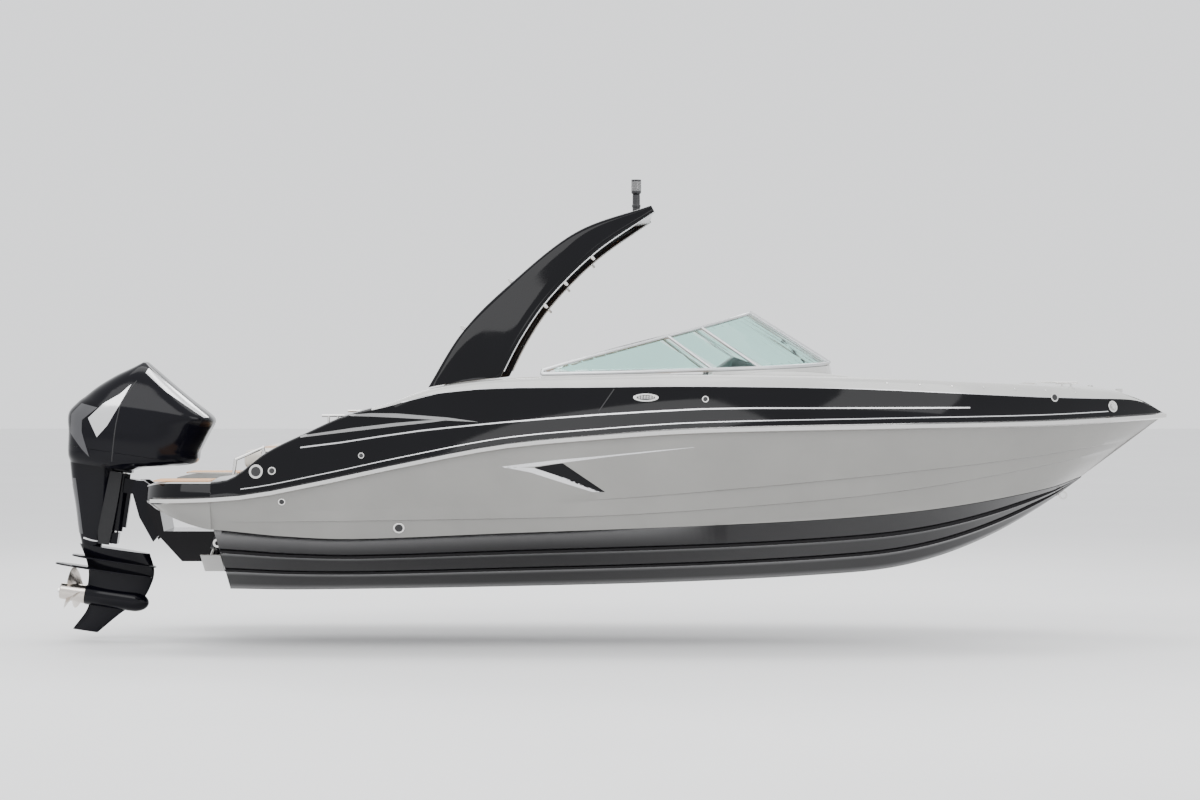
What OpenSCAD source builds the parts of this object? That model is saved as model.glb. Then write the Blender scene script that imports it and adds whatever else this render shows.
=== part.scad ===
// Outboard bowrider speedboat: hull, deck, windshield, sport arch, seats and a tilting, steering outboard.
// Frame: +X to the bow, +Y to port, +Z up, z = 0 at the waterline, origin amidships on the centreline.

/* [Hull] */
// Length from the swim platform's aft edge to the stem
hull_length = 6885; // [5700:5:8300]
// Width of the hull at its widest, without the rub rail
beam = 2530; // [2100:5:3040]
// Width of the gunwale, from the hull side to the cockpit's inner wall
gunwale = 185; // [120:5:230]
// Height of the cockpit floor above the waterline
sole_z = 60; // [20:5:110]
// Height of the bow seats' bases above the waterline
bow_seat_z = 500; // [420:5:560]
// Thickness of the floor panels
sole_thick = 18; // [10:1:30]
// Least thickness of the hull beside the cockpit
hull_wall = 30; // [20:2:60]
// Half-width of the motor well
well_half = 620; // [560:5:680]
// Height of the swim platform's deck
platform_z = 336; // [300:2:360]
// Width of the rub rail, out from the hull side
rub_out = 26; // [14:1:40]
// Height of the rub rail
rub_high = 44; // [26:2:64]

/* [Windshield] */
// Thickness of the glass
glass_thick = 6; // [4:1:10]
// Radius of the windshield's frame tubes
frame_r = 13; // [9:1:18]
// Half-width of the walk-through between the consoles
walk_half = 290; // [240:5:340]
// Height of the windshield's front edge above its base
screen_rise = 340; // [260:5:420]

/* [Arch] */
// Height of the arch's tip above the waterline
arch_top = 2165; // [1850:5:2500]
// Thickness of the arch's legs at the foot
arch_thick = 80; // [50:5:110]

/* [Seats] */
// Width of a bucket seat
bucket_w = 520; // [420:10:560]
// Height of the bucket seats' cushions above the floor
bucket_z = 400; // [320:10:480]
// Radius of a seat pedestal's post
post_r = 38; // [25:1:60]
// Radius of the steering wheel
wheel_r = 178; // [140:2:210]

/* [Outboard] */
// Trim angle at rest, from the tilt tube's own upright
trim_rest = 8.5; // [0:0.5:12]
// Radius of the tilt tube
tilt_r = 19; // [12:1:26]
// Radius of the kingpin
kingpin_r = 24; // [16:1:34]
// Width of the cowl
cowl_w = 600; // [500:10:640]
// Radius of the propeller
prop_r = 170; // [150:2:176]
// Number of propeller blades
blades = 3; // [3:1:4]
// Radius of the gearcase's torpedo
torpedo_r = 70; // [55:1:80]

/* [Trim tabs] */
// Width of a trim tab
tab_w = 300; // [220:10:340]
// Length of a trim tab
tab_l = 125; // [90:5:170]

/* [Fittings] */
// Radius of the hole in a towing or lifting eye
eye_r = 16; // [10:1:24]
// Radius of an eye's bar
eye_bar = 7; // [5:0.5:10]
// Radius of the grab rails' tube
grab_r = 11; // [8:1:15]

/* [Clearances] */
// Gap between two pieces that rest on each other
seat_gap = 0.3; // [0.1:0.1:1]
// Gap between a moving panel and what it passes
panel_gap = 7; // [5:1:15]
// Radial clearance of a pin in its bore
pin_fit = 0.05; // [0.02:0.01:0.1]

/* [Hidden] */
$fn = 40;

// The length and width at which the fair lines below are written
L0 = 6885;
B0 = 2530;
// Half the width of the flat along the keel and of the stem
KEEL_HALF = 8;
// Steps along a fair surface
STEPS = 40;

// Fair lines: each is a list of [station, value]
RAIL_Z = [
    [-2450, 205], [-1800, 236], [-1280, 332], [-755, 444], [-100, 568], [550, 630],
    [1200, 672], [2520, 699], [3570, 716], [4435, 755]
];
RAIL_Y = [
    [-2450, 1130], [-2150, 1205], [-1500, 1250], [0, 1265], [1000, 1260], [1900, 1225], [2500, 1140],
    [3000, 985], [3500, 735], [4000, 400], [4300, 145], [4435, 8]
];
CHINE_Z = [
    [-2450, 40], [-2000, 22], [-1550, -21], [-1090, -40], [-100, -4], [1200, 43], [2200, 93],
    [2890, 155], [3610, 267], [3870, 335]
];
CHINE_Y = [
    [-2000, 1120], [0, 1100], [1000, 1070], [1900, 1000], [2500, 870], [2900, 730],
    [3250, 550], [3600, 310], [3870, 8]
];
KEEL_Z = [
    [-2000, -440], [-1520, -446], [-140, -425], [1240, -387], [2275, -328], [2620, -283],
    [2965, -187], [3310, -35], [3655, 172], [3870, 330]
];
// Top of the deck along the gunwale
CAP_Z = [
    [-2000, 336], [-1863, 362], [-1633, 532], [-1371, 660], [-1128, 768], [-840, 852], [-604, 935],
    [-433, 972], [-100, 1008], [550, 1027], [1200, 1036], [2130, 1024], [2860, 994], [3570, 959],
    [4010, 924], [4250, 864], [4435, 775]
];
// Height of the pale cap moulding above the dark deck side
LIP = [[-1000, 12], [-400, 46], [500, 70], [2860, 76], [3570, 74], [4010, 50], [4250, 10], [4435, 6]];
// Lean of the deck side inward, from the rail to the cap
LEAN = [[-2000, 30], [-1300, 60], [-300, 95], [2500, 95], [3500, 60], [4100, 35], [4435, 2]];
// Outward curve of the topsides, which turns to flare at the bow
BULGE = [[-2000, 12], [600, 22], [2400, 0], [3300, -28], [4435, -8]];

stem_x = st(4435);
chine_end = st(3870);
transom_x = st(-2000);
platform_aft = st(-2450);
cockpit_aft = transom_x + 780;
aft_pad_z = 420;
helm_x = st(1290);
console_front = st(2330);
bow_aft = console_front + 4;
bow_end = st(3500);
well_front = transom_x + 130;
well_z = -30;
bow_sole_z = sole_z + 130;
// Underside of the cockpit's sole, and the height at which its walls step out to their full width
sole_low = sole_z - sole_thick - seat_gap;
shelf_z = 430;
tilt = [transom_x - 617, 0, 269];
kingpin_u = -130;
seat_x = st(670);
seat_y = rail_y(seat_x) - gunwale - bucket_w / 2 - 150;

function st(x) = x * hull_length / L0;
function lerp(a, b, t) = a + (b - a) * t;
function clamp(t) = max(0, min(1, t));
function unit(v) = v / norm(v);
function slope(k, i) =
    let (a = max(i - 1, 0), b = min(i + 1, len(k) - 1))
    (k[b][1] - k[a][1]) / (k[b][0] - k[a][0]);
function span(k, x, i = 0) = (i >= len(k) - 2 || x < k[i + 1][0]) ? i : span(k, x, i + 1);
// Smooth curve through the knots k, at x
function curve(k, x) =
    let (i = span(k, x), w = k[i + 1][0] - k[i][0], t = clamp((x - k[i][0]) / w))
    (2 * t * t * t - 3 * t * t + 1) * k[i][1] + (t * t * t - 2 * t * t + t) * w * slope(k, i)
    + (3 * t * t - 2 * t * t * t) * k[i + 1][1] + (t * t * t - t * t) * w * slope(k, i + 1);
function at(k, x) = curve(k, x * L0 / hull_length);
function rail_z(x) = at(RAIL_Z, x);
function rail_y(x) = at(RAIL_Y, x) * beam / B0;
function chine_z(x) = at(CHINE_Z, x);
function chine_y(x) = at(CHINE_Y, x) * beam / B0;
function keel_z(x) = at(KEEL_Z, x);
function cap_z(x) = at(CAP_Z, x);
function lip(x) = at(LIP, x);
function lean(x) = at(LEAN, x);
function cap_y(x) = rail_y(x) - lean(x);
function inner_y(x) = rail_y(x) - gunwale;
function flip_y(p) = [p[0], -p[1], p[2]];
// A ring from a half-outline: its mirror image first, then itself, so that point i pairs with the last but i
function mirrored(half) = concat([for (i = [len(half) - 1:-1:0]) flip_y(half[i])], half);
function disc(r, n = 12) = [for (i = [0:n - 1]) r * [cos(360 * i / n), sin(360 * i / n)]];
function oval(a, b, power, n = 24) = [
    for (i = [0:n - 1])
        let (c = cos(360 * i / n), s = sin(360 * i / n))
        [a * sign(c) * pow(abs(c), power), b * sign(s) * pow(abs(s), power)]
];

// A solid through rings of equal point counts; paired rings close with rungs across, others with one face
module skin(rings, paired = false) {
    n = len(rings[0]);
    m = len(rings);
    last = (m - 1) * n;
    rungs = [for (i = [0:n / 2 - 2]) [i, i + 1, n - 2 - i, n - 1 - i]];
    start = paired ? rungs : [[for (i = [0:n - 1]) i]];
    end = [for (face = start) [for (i = [len(face) - 1:-1:0]) face[i] + last]];
    sides = [
        for (j = [0:m - 2], i = [0:n - 1])
            let (a = j * n + i, b = j * n + (i + 1) % n)
            each [[a, a + n, b + n], [a, b + n, b]]
    ];
    polyhedron(points = [for (r = rings) each r], faces = concat(start, sides, end));
}

// A bar of the given section along a path; an upright one keeps its section's height vertical
module sweep(path, section, upright = false) {
    skin([
        for (i = [0:len(path) - 1])
            let (
                ahead = unit(path[min(i + 1, len(path) - 1)] - path[max(i - 1, 0)]),
                side = unit(cross([0, 0, 1], ahead)),
                up = upright ? [0, 0, 1] : cross(ahead, side)
            )
            [for (p = section) path[i] + p[0] * side + p[1] * up]
    ]);
}

module rod(a, b, r) {
    v = b - a;
    translate(a)
        rotate([0, acos(v[2] / norm(v)), atan2(v[1], v[0])])
            cylinder(h = norm(v), r = r);
}

// One faceted solid from all of its children
module one_piece() { resize([0, 0, 0]) children(); }

module both() {
    children();
    mirror([0, 1, 0]) children();
}

module box(low, high) { translate(low) cube(high - low); }

// A block with rounded vertical corners
module pad(low, high, r) {
    size = high - low;
    translate(low)
        linear_extrude(size[2])
            translate([r, r])
                offset(r = r)
                    square([size[0] - 2 * r, size[1] - 2 * r]);
}

// Share of the way up the topsides at which a height lies, and the stem's rake seen from there
function up_side(x_low, x_high, z) = clamp((z - chine_z(x_low)) / (rail_z(x_high) - chine_z(x_low)));
function along_at(x, f) = clamp((x - transom_x) / (lerp(chine_end, stem_x, f) - transom_x));
// Half-breadth of the hull at a station and height
function skin_y(x, z) =
    let (
        t = along_at(x, up_side(x, x, z)),
        xb = lerp(transom_x, chine_end, t), xr = lerp(transom_x, stem_x, t),
        f = up_side(xb, xr, z), kz = keel_z(xb), cz = chine_z(xb) - 4
    )
    f > 0
        ? lerp(chine_y(xb), rail_y(xr), f) + 4 * f * (1 - f) * at(BULGE, (xb + xr) / 2)
        : clamp((z - kz) / (cz - kz)) * chine_y(xb) - 10;
// Half-width of the room inside the hull whose floor is at a height
function room_y(x, z) = min(inner_y(x), skin_y(x, z) - hull_wall);

// Plan of the room between two stations, set in by a gap
module plan(x0, x1, z, gap = 0, half_limit = 9999) {
    steps = 20;
    side = [for (i = [0:steps]) let (x = lerp(x0, x1, i / steps)) [x, min(room_y(x, z) - gap, half_limit)]];
    polygon(concat(side, [for (i = [steps:-1:0]) [side[i][0], -side[i][1]]]));
}

// ---- Hull and deck ----

// Half-section of the hull from the keel to the rail, at a share t of the way to the stem
function hull_half(t) =
    let (
        xb = lerp(transom_x, chine_end, t),
        xm = lerp(transom_x, (chine_end + stem_x) / 2, t),
        xr = lerp(transom_x, stem_x, t),
        kz = keel_z(xb), cz = chine_z(xb), cy = max(chine_y(xb), KEEL_HALF),
        flat = min(95, 0.4 * cy) * clamp((st(1400) - xb) / 1200),
        panel = cy - flat,
        strake = min(38, 0.1 * cy)
    )
    concat(
        [[xb, KEEL_HALF, kz]],
        [for (f = [0.3, 0.62]) each let (y = max(f * panel, KEEL_HALF), z = lerp(kz, cz - 4, f)) [
            [xb, y, z],
            [xb, y + strake, z + 1],
            [xb, y + strake + 1, lerp(kz, cz - 4, (y + strake) / max(panel, strake + y))]
        ]],
        [[xb, max(panel, KEEL_HALF), cz - 4], [xb, cy, cz]],
        [for (f = [0.25, 0.5, 0.75]) [
            lerp(xb, xr, f),
            max(KEEL_HALF, lerp(cy, rail_y(xr), f) + 4 * f * (1 - f) * at(BULGE, xm)),
            lerp(cz, rail_z(xr), f)
        ]],
        [[xr, max(rail_y(xr), KEEL_HALF), rail_z(xr)]]
    );

function deck_half(t) =
    let (x = lerp(transom_x, stem_x, t), y = max(cap_y(x), 6), rise = cap_z(x) - lip(x) - rail_z(x))
    [
        [x, max(rail_y(x), KEEL_HALF), rail_z(x) + seat_gap],
        [x, max(lerp(rail_y(x), y, 0.3), 7), rail_z(x) + 0.45 * rise],
        [x, y, cap_z(x) - lip(x)],
        [x, max(y - 14, 5), cap_z(x) - 0.3 * lip(x)],
        [x, max(y - 36, 4), cap_z(x)],
        [x, max(0.5 * y, 3), cap_z(x) + 18 * clamp(y / 300)],
        [x, 2, cap_z(x) + 24 * clamp(y / 300)]
    ];

function along(i) = 1 - pow(1 - i / STEPS, 1.25);

// The room of the cockpit, drawn in by a gap
module room(gap = 0) {
    translate([0, 0, sole_low])
        linear_extrude(shelf_z + 2 * gap + 1)
            plan(cockpit_aft, bow_aft, sole_low, gap);
    translate([0, 0, shelf_z + gap])
        linear_extrude(2000)
            plan(cockpit_aft, bow_aft, shelf_z, gap);
}

module cockpit_cut() {
    room();
    translate([0, 0, aft_pad_z])
        linear_extrude(2000)
            plan(well_front, cockpit_aft + 1, aft_pad_z);
    translate([0, 0, bow_seat_z])
        linear_extrude(2000)
            plan(bow_aft - 1, bow_end, bow_seat_z);
    translate([0, 0, bow_sole_z - sole_thick - seat_gap])
        linear_extrude(2000)
            plan(bow_aft - 1, bow_end - 260, bow_sole_z, half_limit = walk_half);
}

module well_cut() {
    box([platform_aft - 200, -well_half, well_z], [well_front, well_half, 2000]);
}

module hull_body() {
    skin([for (i = [0:STEPS]) mirrored(hull_half(along(i)))], paired = true);
}

module hull_shell() {
    color("gainsboro")
        one_piece()
            difference() {
                hull_body();
                cockpit_cut();
                well_cut();
            }
}

module deck_body() {
    skin([
        for (i = [0:STEPS])
            let (h = deck_half(along(i)))
            [for (p = mirrored([for (k = [len(h) - 1:-1:0]) h[k]])) flip_y(p)]
    ], paired = true);
}

module lid_prism(gap) {
    pad([st(3640) - gap, -150 - gap, 0], [st(3930) + gap, 150 + gap, 1500], 30);
}

lid_hinge_z = cap_z(st(3930)) + 24.6;

module deck() {
    color("black")
        one_piece()
            difference() {
                deck_body();
                cockpit_cut();
                well_cut();
                difference() {
                    lid_prism(panel_gap);
                    box([0, -400, 0], [st(4435), 400, 850]);
                }
            }
}

module anchor_locker_lid() {
    color("whitesmoke")
        one_piece()
            difference() {
                intersection() {
                    deck_body();
                    lid_prism(0);
                }
                intersection() {
                    translate([0, 0, -24]) deck_body();
                    lid_prism(20);
                }
            }
    for (y = [-90, 50])
        color("silver")
            translate([st(3930), y, lid_hinge_z])
                rotate([-90, 0, 0]) cylinder(h = 40, r = panel_gap - seat_gap);
}

WING_STEPS = 8;
function wing_x(i) = lerp(transom_x - seat_gap, platform_aft, i / WING_STEPS);
// The platform's edge, rounded in toward its aft corner
function wing_y(i) = rail_y(wing_x(i)) - 180 * pow(i / WING_STEPS, 5);

module rub_rail() {
    aft = [for (i = [7:-1:1]) [wing_x(i), wing_y(i) + seat_gap, rail_z(wing_x(i))]];
    fore = [
        for (i = [0:STEPS])
            let (x = lerp(transom_x, stem_x, along(i)))
            [x, max(rail_y(x), KEEL_HALF) + seat_gap, rail_z(x)]
    ];
    half = concat(aft, fore);
    path = concat(half, [for (i = [len(half) - 1:-1:0]) flip_y(half[i])]);
    h = rub_high / 2;
    color("silver")
        sweep(path, [[0, -h], [rub_out, -0.55 * h], [rub_out, 0.55 * h], [0, h]], upright = true);
}

module cockpit_sole() {
    color("tan") {
        translate([0, 0, sole_z - sole_thick])
            linear_extrude(sole_thick)
                plan(cockpit_aft + 2, bow_aft - 3, sole_low, 2);
        translate([0, 0, bow_sole_z - sole_thick])
            linear_extrude(sole_thick)
                plan(bow_aft + 2, bow_end - 262, bow_sole_z, half_limit = walk_half - 2);
    }
}

// One side of the swim platform, beside the motor well
module platform_wing() {
    skin([
        for (i = [0:WING_STEPS])
            let (
                x = wing_x(i), y = wing_y(i),
                low = chine_z(x) + 150 * pow(i / WING_STEPS, 1.5),
                top = platform_z - 30 * pow(i / WING_STEPS, 6)
            )
            [[x, well_half, low], [x, well_half, top], [x, y - 40, top], [x, y, rail_z(x)], [x, y - 70, low]]
    ]);
}

module swim_platform() {
    color("black") both() platform_wing();
}

module platform_mats() {
    color("tan")
        both()
            pad(
                [platform_aft + 60, well_half + 40, platform_z + seat_gap],
                [transom_x - 12, rail_y(transom_x) - 120, platform_z + 7], 30
            );
}

module engine_pod() {
    aft = transom_x - 534;
    color("black")
        rotate([90, 0, 0])
            linear_extrude(560, center = true)
                polygon([
                    [aft - 12, 185], [aft, 124], [aft + 69, -55], [aft + 145, -138], [aft + 234, -235],
                    [transom_x - seat_gap, -235], [transom_x - seat_gap, well_z], [aft + 110, well_z],
                    [aft + 70, 185]
                ]);
}

// ---- Windshield ----

// Base and top edges of the glass, from the tail (s = 0) to the centreline (s = 1), on the port side
function base_edge(s) =
    let (x = lerp(st(40), st(2110), pow(sin(90 * s), 0.8)))
    [x, inner_y(st(600)) * pow(cos(90 * s), 0.55) + 32, lerp(cap_z(st(100)), 1096, s) + frame_r + 14];
function top_edge(s) =
    let (b = base_edge(s), h = screen_rise * pow(sin(90 * s), 0.75))
    [lerp(st(100), st(1575), pow(sin(90 * s), 0.86)), b[1] * (1 - 0.2 * sin(90 * s)), b[2] + h];
// Share along the edge at which the glass meets the walk-through
GATE = acos(pow((walk_half - 6) / inner_y(st(600)), 1 / 0.55)) / 90;
MULLIONS = [0.36, 0.5];

function edge_path(top, from, to, steps) = [
    for (i = [0:steps]) let (s = lerp(from, to, i / steps)) top ? top_edge(s) : base_edge(s)
];

module windshield_half() {
    one_piece() {
        sweep(edge_path(false, 0.02, GATE, 18), disc(frame_r, 8));
        sweep(edge_path(true, 0.02, GATE, 18), disc(frame_r, 8));
        rod(base_edge(GATE), top_edge(GATE), frame_r);
        for (s = MULLIONS) rod(base_edge(s), top_edge(s + 0.02), frame_r * 0.8);
        hull() {
            translate(base_edge(0.02)) sphere(frame_r, $fn = 12);
            translate(top_edge(0.02)) sphere(frame_r, $fn = 12);
        }
    }
}

// The moulding that carries the windshield's foot on the gunwale and the consoles
module windshield_base() {
    steps = 18;
    half_width = frame_r + 12;
    color("whitesmoke")
        both()
            one_piece()
                difference() {
                    skin([
                        for (i = [0:steps])
                            let (
                                s = lerp(0.02, GATE, i / steps),
                                b = base_edge(s) - [0, 0, frame_r + seat_gap],
                                out = unit([sin(90 * s), cos(90 * s), 0]),
                                low = [0, 0, cap_z(b[0]) - 30 - b[2]]
                            )
                            [
                                b - 0.5 * half_width * out, b - 1.4 * half_width * out + low,
                                b + 1.4 * half_width * out + low, b + 0.5 * half_width * out
                            ]
                    ]);
                    translate([0, 0, seat_gap]) deck_body();
                    translate([0, 0, seat_gap]) console_body();
                    box([helm_x - 3000, 0, 0], [helm_x, inner_y(helm_x) + 8, 2000]);
                }
}

module windshield_frame() {
    color("silver") both() windshield_half();
}

// A pane between two shares along the edges
module pane(from, to) {
    steps = 10;
    skin([
        for (i = [0:steps])
            let (
                s = lerp(from, to, i / steps),
                b = base_edge(s), t = top_edge(s),
                out = glass_thick / 2 * unit([sin(90 * s), cos(90 * s) + 0.02, 0])
            )
            [b - out, b + out, t + out, t - out]
    ]);
}

module side_glass() {
    color("darkslategray", 0.4)
        both() {
            pane(0.04, MULLIONS[0]);
            pane(MULLIONS[0] + 0.02, MULLIONS[1]);
        }
}

module front_glass() {
    color("darkslategray", 0.4) both() pane(MULLIONS[1] + 0.02, GATE);
}

window_inset = [6, -2 * frame_r - panel_gap, 4];
window_low = base_edge(GATE) + window_inset;
window_high = top_edge(GATE) + window_inset;

module center_window() {
    b = window_low;
    t = window_high;
    knuckle = norm(window_inset) - frame_r - seat_gap;
    color("silver")
        one_piece() {
            rod(b, t, frame_r);
            rod(flip_y(b), flip_y(t), frame_r);
            rod(t, flip_y(t), frame_r);
            rod(b, flip_y(b), frame_r);
            for (g = [0.2, 0.7]) rod(lerp(b, t, g), lerp(b, t, g + 0.1), knuckle);
            skin([
                [b - [3, 0, 0], b + [3, 0, 0], t + [3, 0, 0], t - [3, 0, 0]],
                [flip_y(b) - [3, 0, 0], flip_y(b) + [3, 0, 0], flip_y(t) + [3, 0, 0], flip_y(t) - [3, 0, 0]]
            ]);
        }
}

door_x = st(1950);
door_hinge_y = walk_half - 10 - seat_gap;

module walkthrough_door() {
    top = cap_z(door_x) - 30;
    color("whitesmoke")
        union() {
            box([door_x, -door_hinge_y + 3, sole_z + 30], [door_x + 26, door_hinge_y - 4, top]);
            for (z = [sole_z + 120, top - 180])
                translate([door_x, door_hinge_y, z]) cylinder(h = 70, r = 10);
        }
}

// ---- Arch ----

function arch_aft(g) = let (k = arch_top / 2165) [
    curve([[0, -580], [0.25, -360], [0.5, -60], [0.75, 390], [1, 890]], g),
    curve([[0, 955], [0.25, 1315], [0.5, 1625], [0.75, 1985], [1, 2168]], g) * k
];
function arch_fore(g) = let (k = arch_top / 2165) [
    curve([[0, -112], [0.25, 35], [0.5, 225], [0.75, 530], [1, 912]], g),
    curve([[0, 1005], [0.25, 1290], [0.5, 1560], [0.75, 1860], [1, 2126]], g) * k
];
function arch_y(g) = lerp(cap_y(st(-350)) - arch_thick / 2 - 30, 760, pow(g, 1.3));

module arch_leg() {
    steps = 16;
    skin([
        for (i = [0:steps])
            let (
                g = i / steps, a = arch_aft(g), f = arch_fore(g), y = arch_y(g),
                h = lerp(arch_thick, 44, g) / 2
            )
            [
                [st(a[0]), y - 0.3 * h, a[1]], [lerp(st(a[0]), st(f[0]), 0.3), y - h, lerp(a[1], f[1], 0.3)],
                [lerp(st(a[0]), st(f[0]), 0.7), y - h, lerp(a[1], f[1], 0.7)], [st(f[0]), y - 0.3 * h, f[1]],
                [st(f[0]), y + 0.3 * h, f[1]], [lerp(st(a[0]), st(f[0]), 0.7), y + h, lerp(a[1], f[1], 0.7)],
                [lerp(st(a[0]), st(f[0]), 0.3), y + h, lerp(a[1], f[1], 0.3)], [st(a[0]), y + 0.3 * h, a[1]]
            ]
    ]);
}

// The wing that joins the legs' upper ends
module arch_wing() {
    a = arch_aft(0.8);
    f = arch_aft(1);
    end = arch_y(1) + 10;
    rotate([90, 0, 0])
        linear_extrude(2 * end, center = true)
            polygon([
                [st(a[0]), a[1] - 8], [st(f[0]), f[1]], [st(f[0]) + 18, f[1] - 42],
                [st(f[0]) - 150, f[1] - 110], [st(a[0]) + 60, a[1] - 95], [st(a[0]) + 8, a[1] - 40]
            ]);
}

module sport_arch() {
    color("black")
        one_piece()
            difference() {
                union() {
                    both() arch_leg();
                    arch_wing();
                }
                translate([0, 0, seat_gap]) deck_body();
            }
}

module arch_light() {
    x = st(800);
    z = arch_aft(0.955)[1] + 8;
    color("black") {
        translate([x, 0, z]) cylinder(h = 130, r = 26);
        translate([x, 0, z + 130]) cylinder(h = 16, r1 = 22, r2 = 34);
        translate([x, 0, z + 146]) cylinder(h = 90, r = 34);
    }
}

// ---- Helm, consoles and seats ----

// A console from the walk-through to the cockpit's wall, port side
module console_body() {
    steps = 8;
    skin([
        for (i = [0:steps])
            let (
                x = lerp(helm_x, console_front, i / steps),
                y = inner_y(x) - 4,
                z = cap_z(x) + 40 * sin(180 * i / steps)
            )
            [[x, walk_half, sole_z + seat_gap], [x, y, sole_z + seat_gap], [x, y, z - 12], [x, walk_half, z]]
    ]);
}

module console_half(back) {
    one_piece()
        difference() {
            intersection() {
                console_body();
                room(4);
            }
            // Knee room under the dash
            box(
                [helm_x - 10, walk_half + 60, sole_z - 1],
                [helm_x + back, room_y(helm_x + back, sole_low) - 60, 640]
            );
        }
}

module helm_console() {
    color("whitesmoke")
        one_piece() {
            mirror([0, 1, 0]) console_half(260);
            at_wheel() translate([0, 0, -230]) cylinder(h = 150 - seat_gap, r = 42);
        }
}

module port_console() {
    color("whitesmoke") console_half(180);
}

module dash_hood() {
    color("black")
        one_piece()
            difference() {
                translate([helm_x + 30, -seat_y, cap_z(helm_x)])
                    hull() {
                        for (y = [-200, 200]) {
                            translate([60, y, 0]) cylinder(h = 40, r = 60, $fn = 32);
                            translate([120, 0.8 * y, 90]) sphere(30, $fn = 16);
                        }
                        translate([270, 0, 40]) sphere(30, $fn = 16);
                    }
                translate([0, 0, seat_gap]) mirror([0, 1, 0]) console_body();
            }
}

module throttle() {
    x = helm_x - 50;
    y = -min(inner_y(x - 90), inner_y(x + 40)) + seat_gap;
    color("dimgray")
        one_piece() {
            box([x - 90, y, 760], [x + 40, y + 56, 850]);
            rod([x - 20, y + 40, 840], [x + 20, y + 60, 980], 10, $fn = 24);
            translate([x + 20, y + 60, 985]) sphere(22, $fn = 24);
        }
}

wheel_tilt = 62;
wheel_at = [helm_x - 105, -seat_y, cap_z(helm_x) - 130];

module at_wheel() { translate(wheel_at) rotate([0, -wheel_tilt, 0]) children(); }

module steering_wheel() {
    color("black")
            at_wheel() {
                rotate_extrude() translate([wheel_r - 15, 0]) circle(15);
                translate([0, 0, -18]) cylinder(h = 30, r = 45);
                for (a = [90, 210, 330])
                    rotate([0, 0, a]) translate([40, -16, -8]) cube([wheel_r - 60, 32, 10]);
                translate([0, 0, -80]) cylinder(h = 70, r = 22);
            }
}

module seat_pedestals() {
    color("silver")
        both()
            translate([seat_x, seat_y, sole_z + seat_gap]) {
                cylinder(h = 12, r = 150);
                cylinder(h = bucket_z - 160, r = post_r);
            }
}

// A bucket seat about its swivel, facing the bow
module bucket_seat() {
    w = bucket_w / 2;
    top = bucket_z + sole_z;
    translate([0, 0, sole_z + bucket_z - 160 + 2 * seat_gap]) cylinder(h = 30, r = 110);
    hull()
        for (x = [-190, 210], y = [-w + 60, w - 60])
            translate([x, y, top - 140 + 2]) cylinder(h = 138, r = 60, $fn = 32);
    hull()
        for (z = [top - 100, top + 380], y = [-w + 60, w - 60])
            translate([-230 - (z - top) * 0.16, y, z]) sphere(55, $fn = 20);
    for (s = [-1, 1])
        hull()
            for (x = [-180, 90])
                translate([x, s * (w - 28), top + 10]) cylinder(h = 130 - 0.2 * x, r = 28, $fn = 24);
}

module helm_seat() {
    color("tan") one_piece() translate([seat_x, -seat_y, 0]) bucket_seat();
}

module companion_seat() {
    color("tan") one_piece() translate([seat_x, seat_y, 0]) bucket_seat();
}

module stern_bench() {
    x0 = cockpit_aft + 4;
    half = room_y(x0, sole_low);
    color("tan") {
        pad([x0 + 130, 6 - half, sole_z + seat_gap], [x0 + 610, half - 6, sole_z + 400], 40);
        pad([x0, 6 - half, sole_z + seat_gap], [x0 + 126, half - 6, 720], 30);
    }
}

// Lounge pad on the aft deck, between the motor well and the bench
module sun_pad() {
    y = inner_y(well_front) - 30;
    color("tan")
        pad([well_front + 60, -y, aft_pad_z + seat_gap], [cockpit_aft - 6, y, aft_pad_z + 120], 40);
}

module bow_cushions() {
    top = bow_seat_z + 100;
    color("tan") {
        both()
            one_piece()
                intersection() {
                    difference() {
                        translate([0, 0, bow_seat_z + seat_gap])
                            linear_extrude(100)
                                plan(console_front + 130, bow_end - 4, bow_seat_z, 6);
                        box([0, -3000, 0], [9000, 2, 3000]);
                        box([0, -walk_half - 5, 0], [bow_end - 250, walk_half + 5, 3000]);
                    }
                    box([console_front + 132, 2, 0], [9000, 3000, 3000]);
                }
        both()
            pad(
                [console_front + 8, walk_half + 6, bow_seat_z + seat_gap],
                [console_front + 126, room_y(console_front + 126, bow_seat_z) - 8, bow_seat_z + 400], 30
            );
    }
}

// ---- Fittings ----

module cleat(x) {
    y = cap_y(x) - 60;
    z = cap_z(x) + 12;
    for (dx = [-30, 30]) translate([x + dx, y, z - 30]) cylinder(h = 48, r = 8, $fn = 24);
    translate([x - 75, y, z + 20]) rotate([0, 90, 0]) cylinder(h = 150, r = 9, $fn = 24);
}

module on_deck() {
    one_piece()
        difference() {
            children();
            translate([0, 0, seat_gap]) deck_body();
        }
}

module deck_hardware() {
    color("silver") {
        both() {
            on_deck() cleat(st(3700));
            on_deck() cleat(st(-1200));
        }
        on_deck() translate([st(4130), 0, cap_z(st(4130)) - 20]) cylinder(h = 60, r = 26, $fn = 32);
    }
}

// A disc on the starboard side at a station and height, trimmed to the skin behind it
module side_disc(x, z, r) {
    f = (z - chine_z(x)) / (rail_z(x) - chine_z(x));
    y = z > rail_z(x)
        ? lerp(rail_y(x), cap_y(x), (z - rail_z(x)) / (cap_z(x) - rail_z(x)))
        : lerp(chine_y(x), rail_y(x), f) + 4 * f * (1 - f) * at(BULGE, x);
    one_piece()
        difference() {
            translate([x, 16 - y, z]) rotate([90, 0, 0]) cylinder(h = 26, r = r, $fn = 32);
            if (z > rail_z(x)) deck_body(); else hull_body();
        }
}

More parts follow.
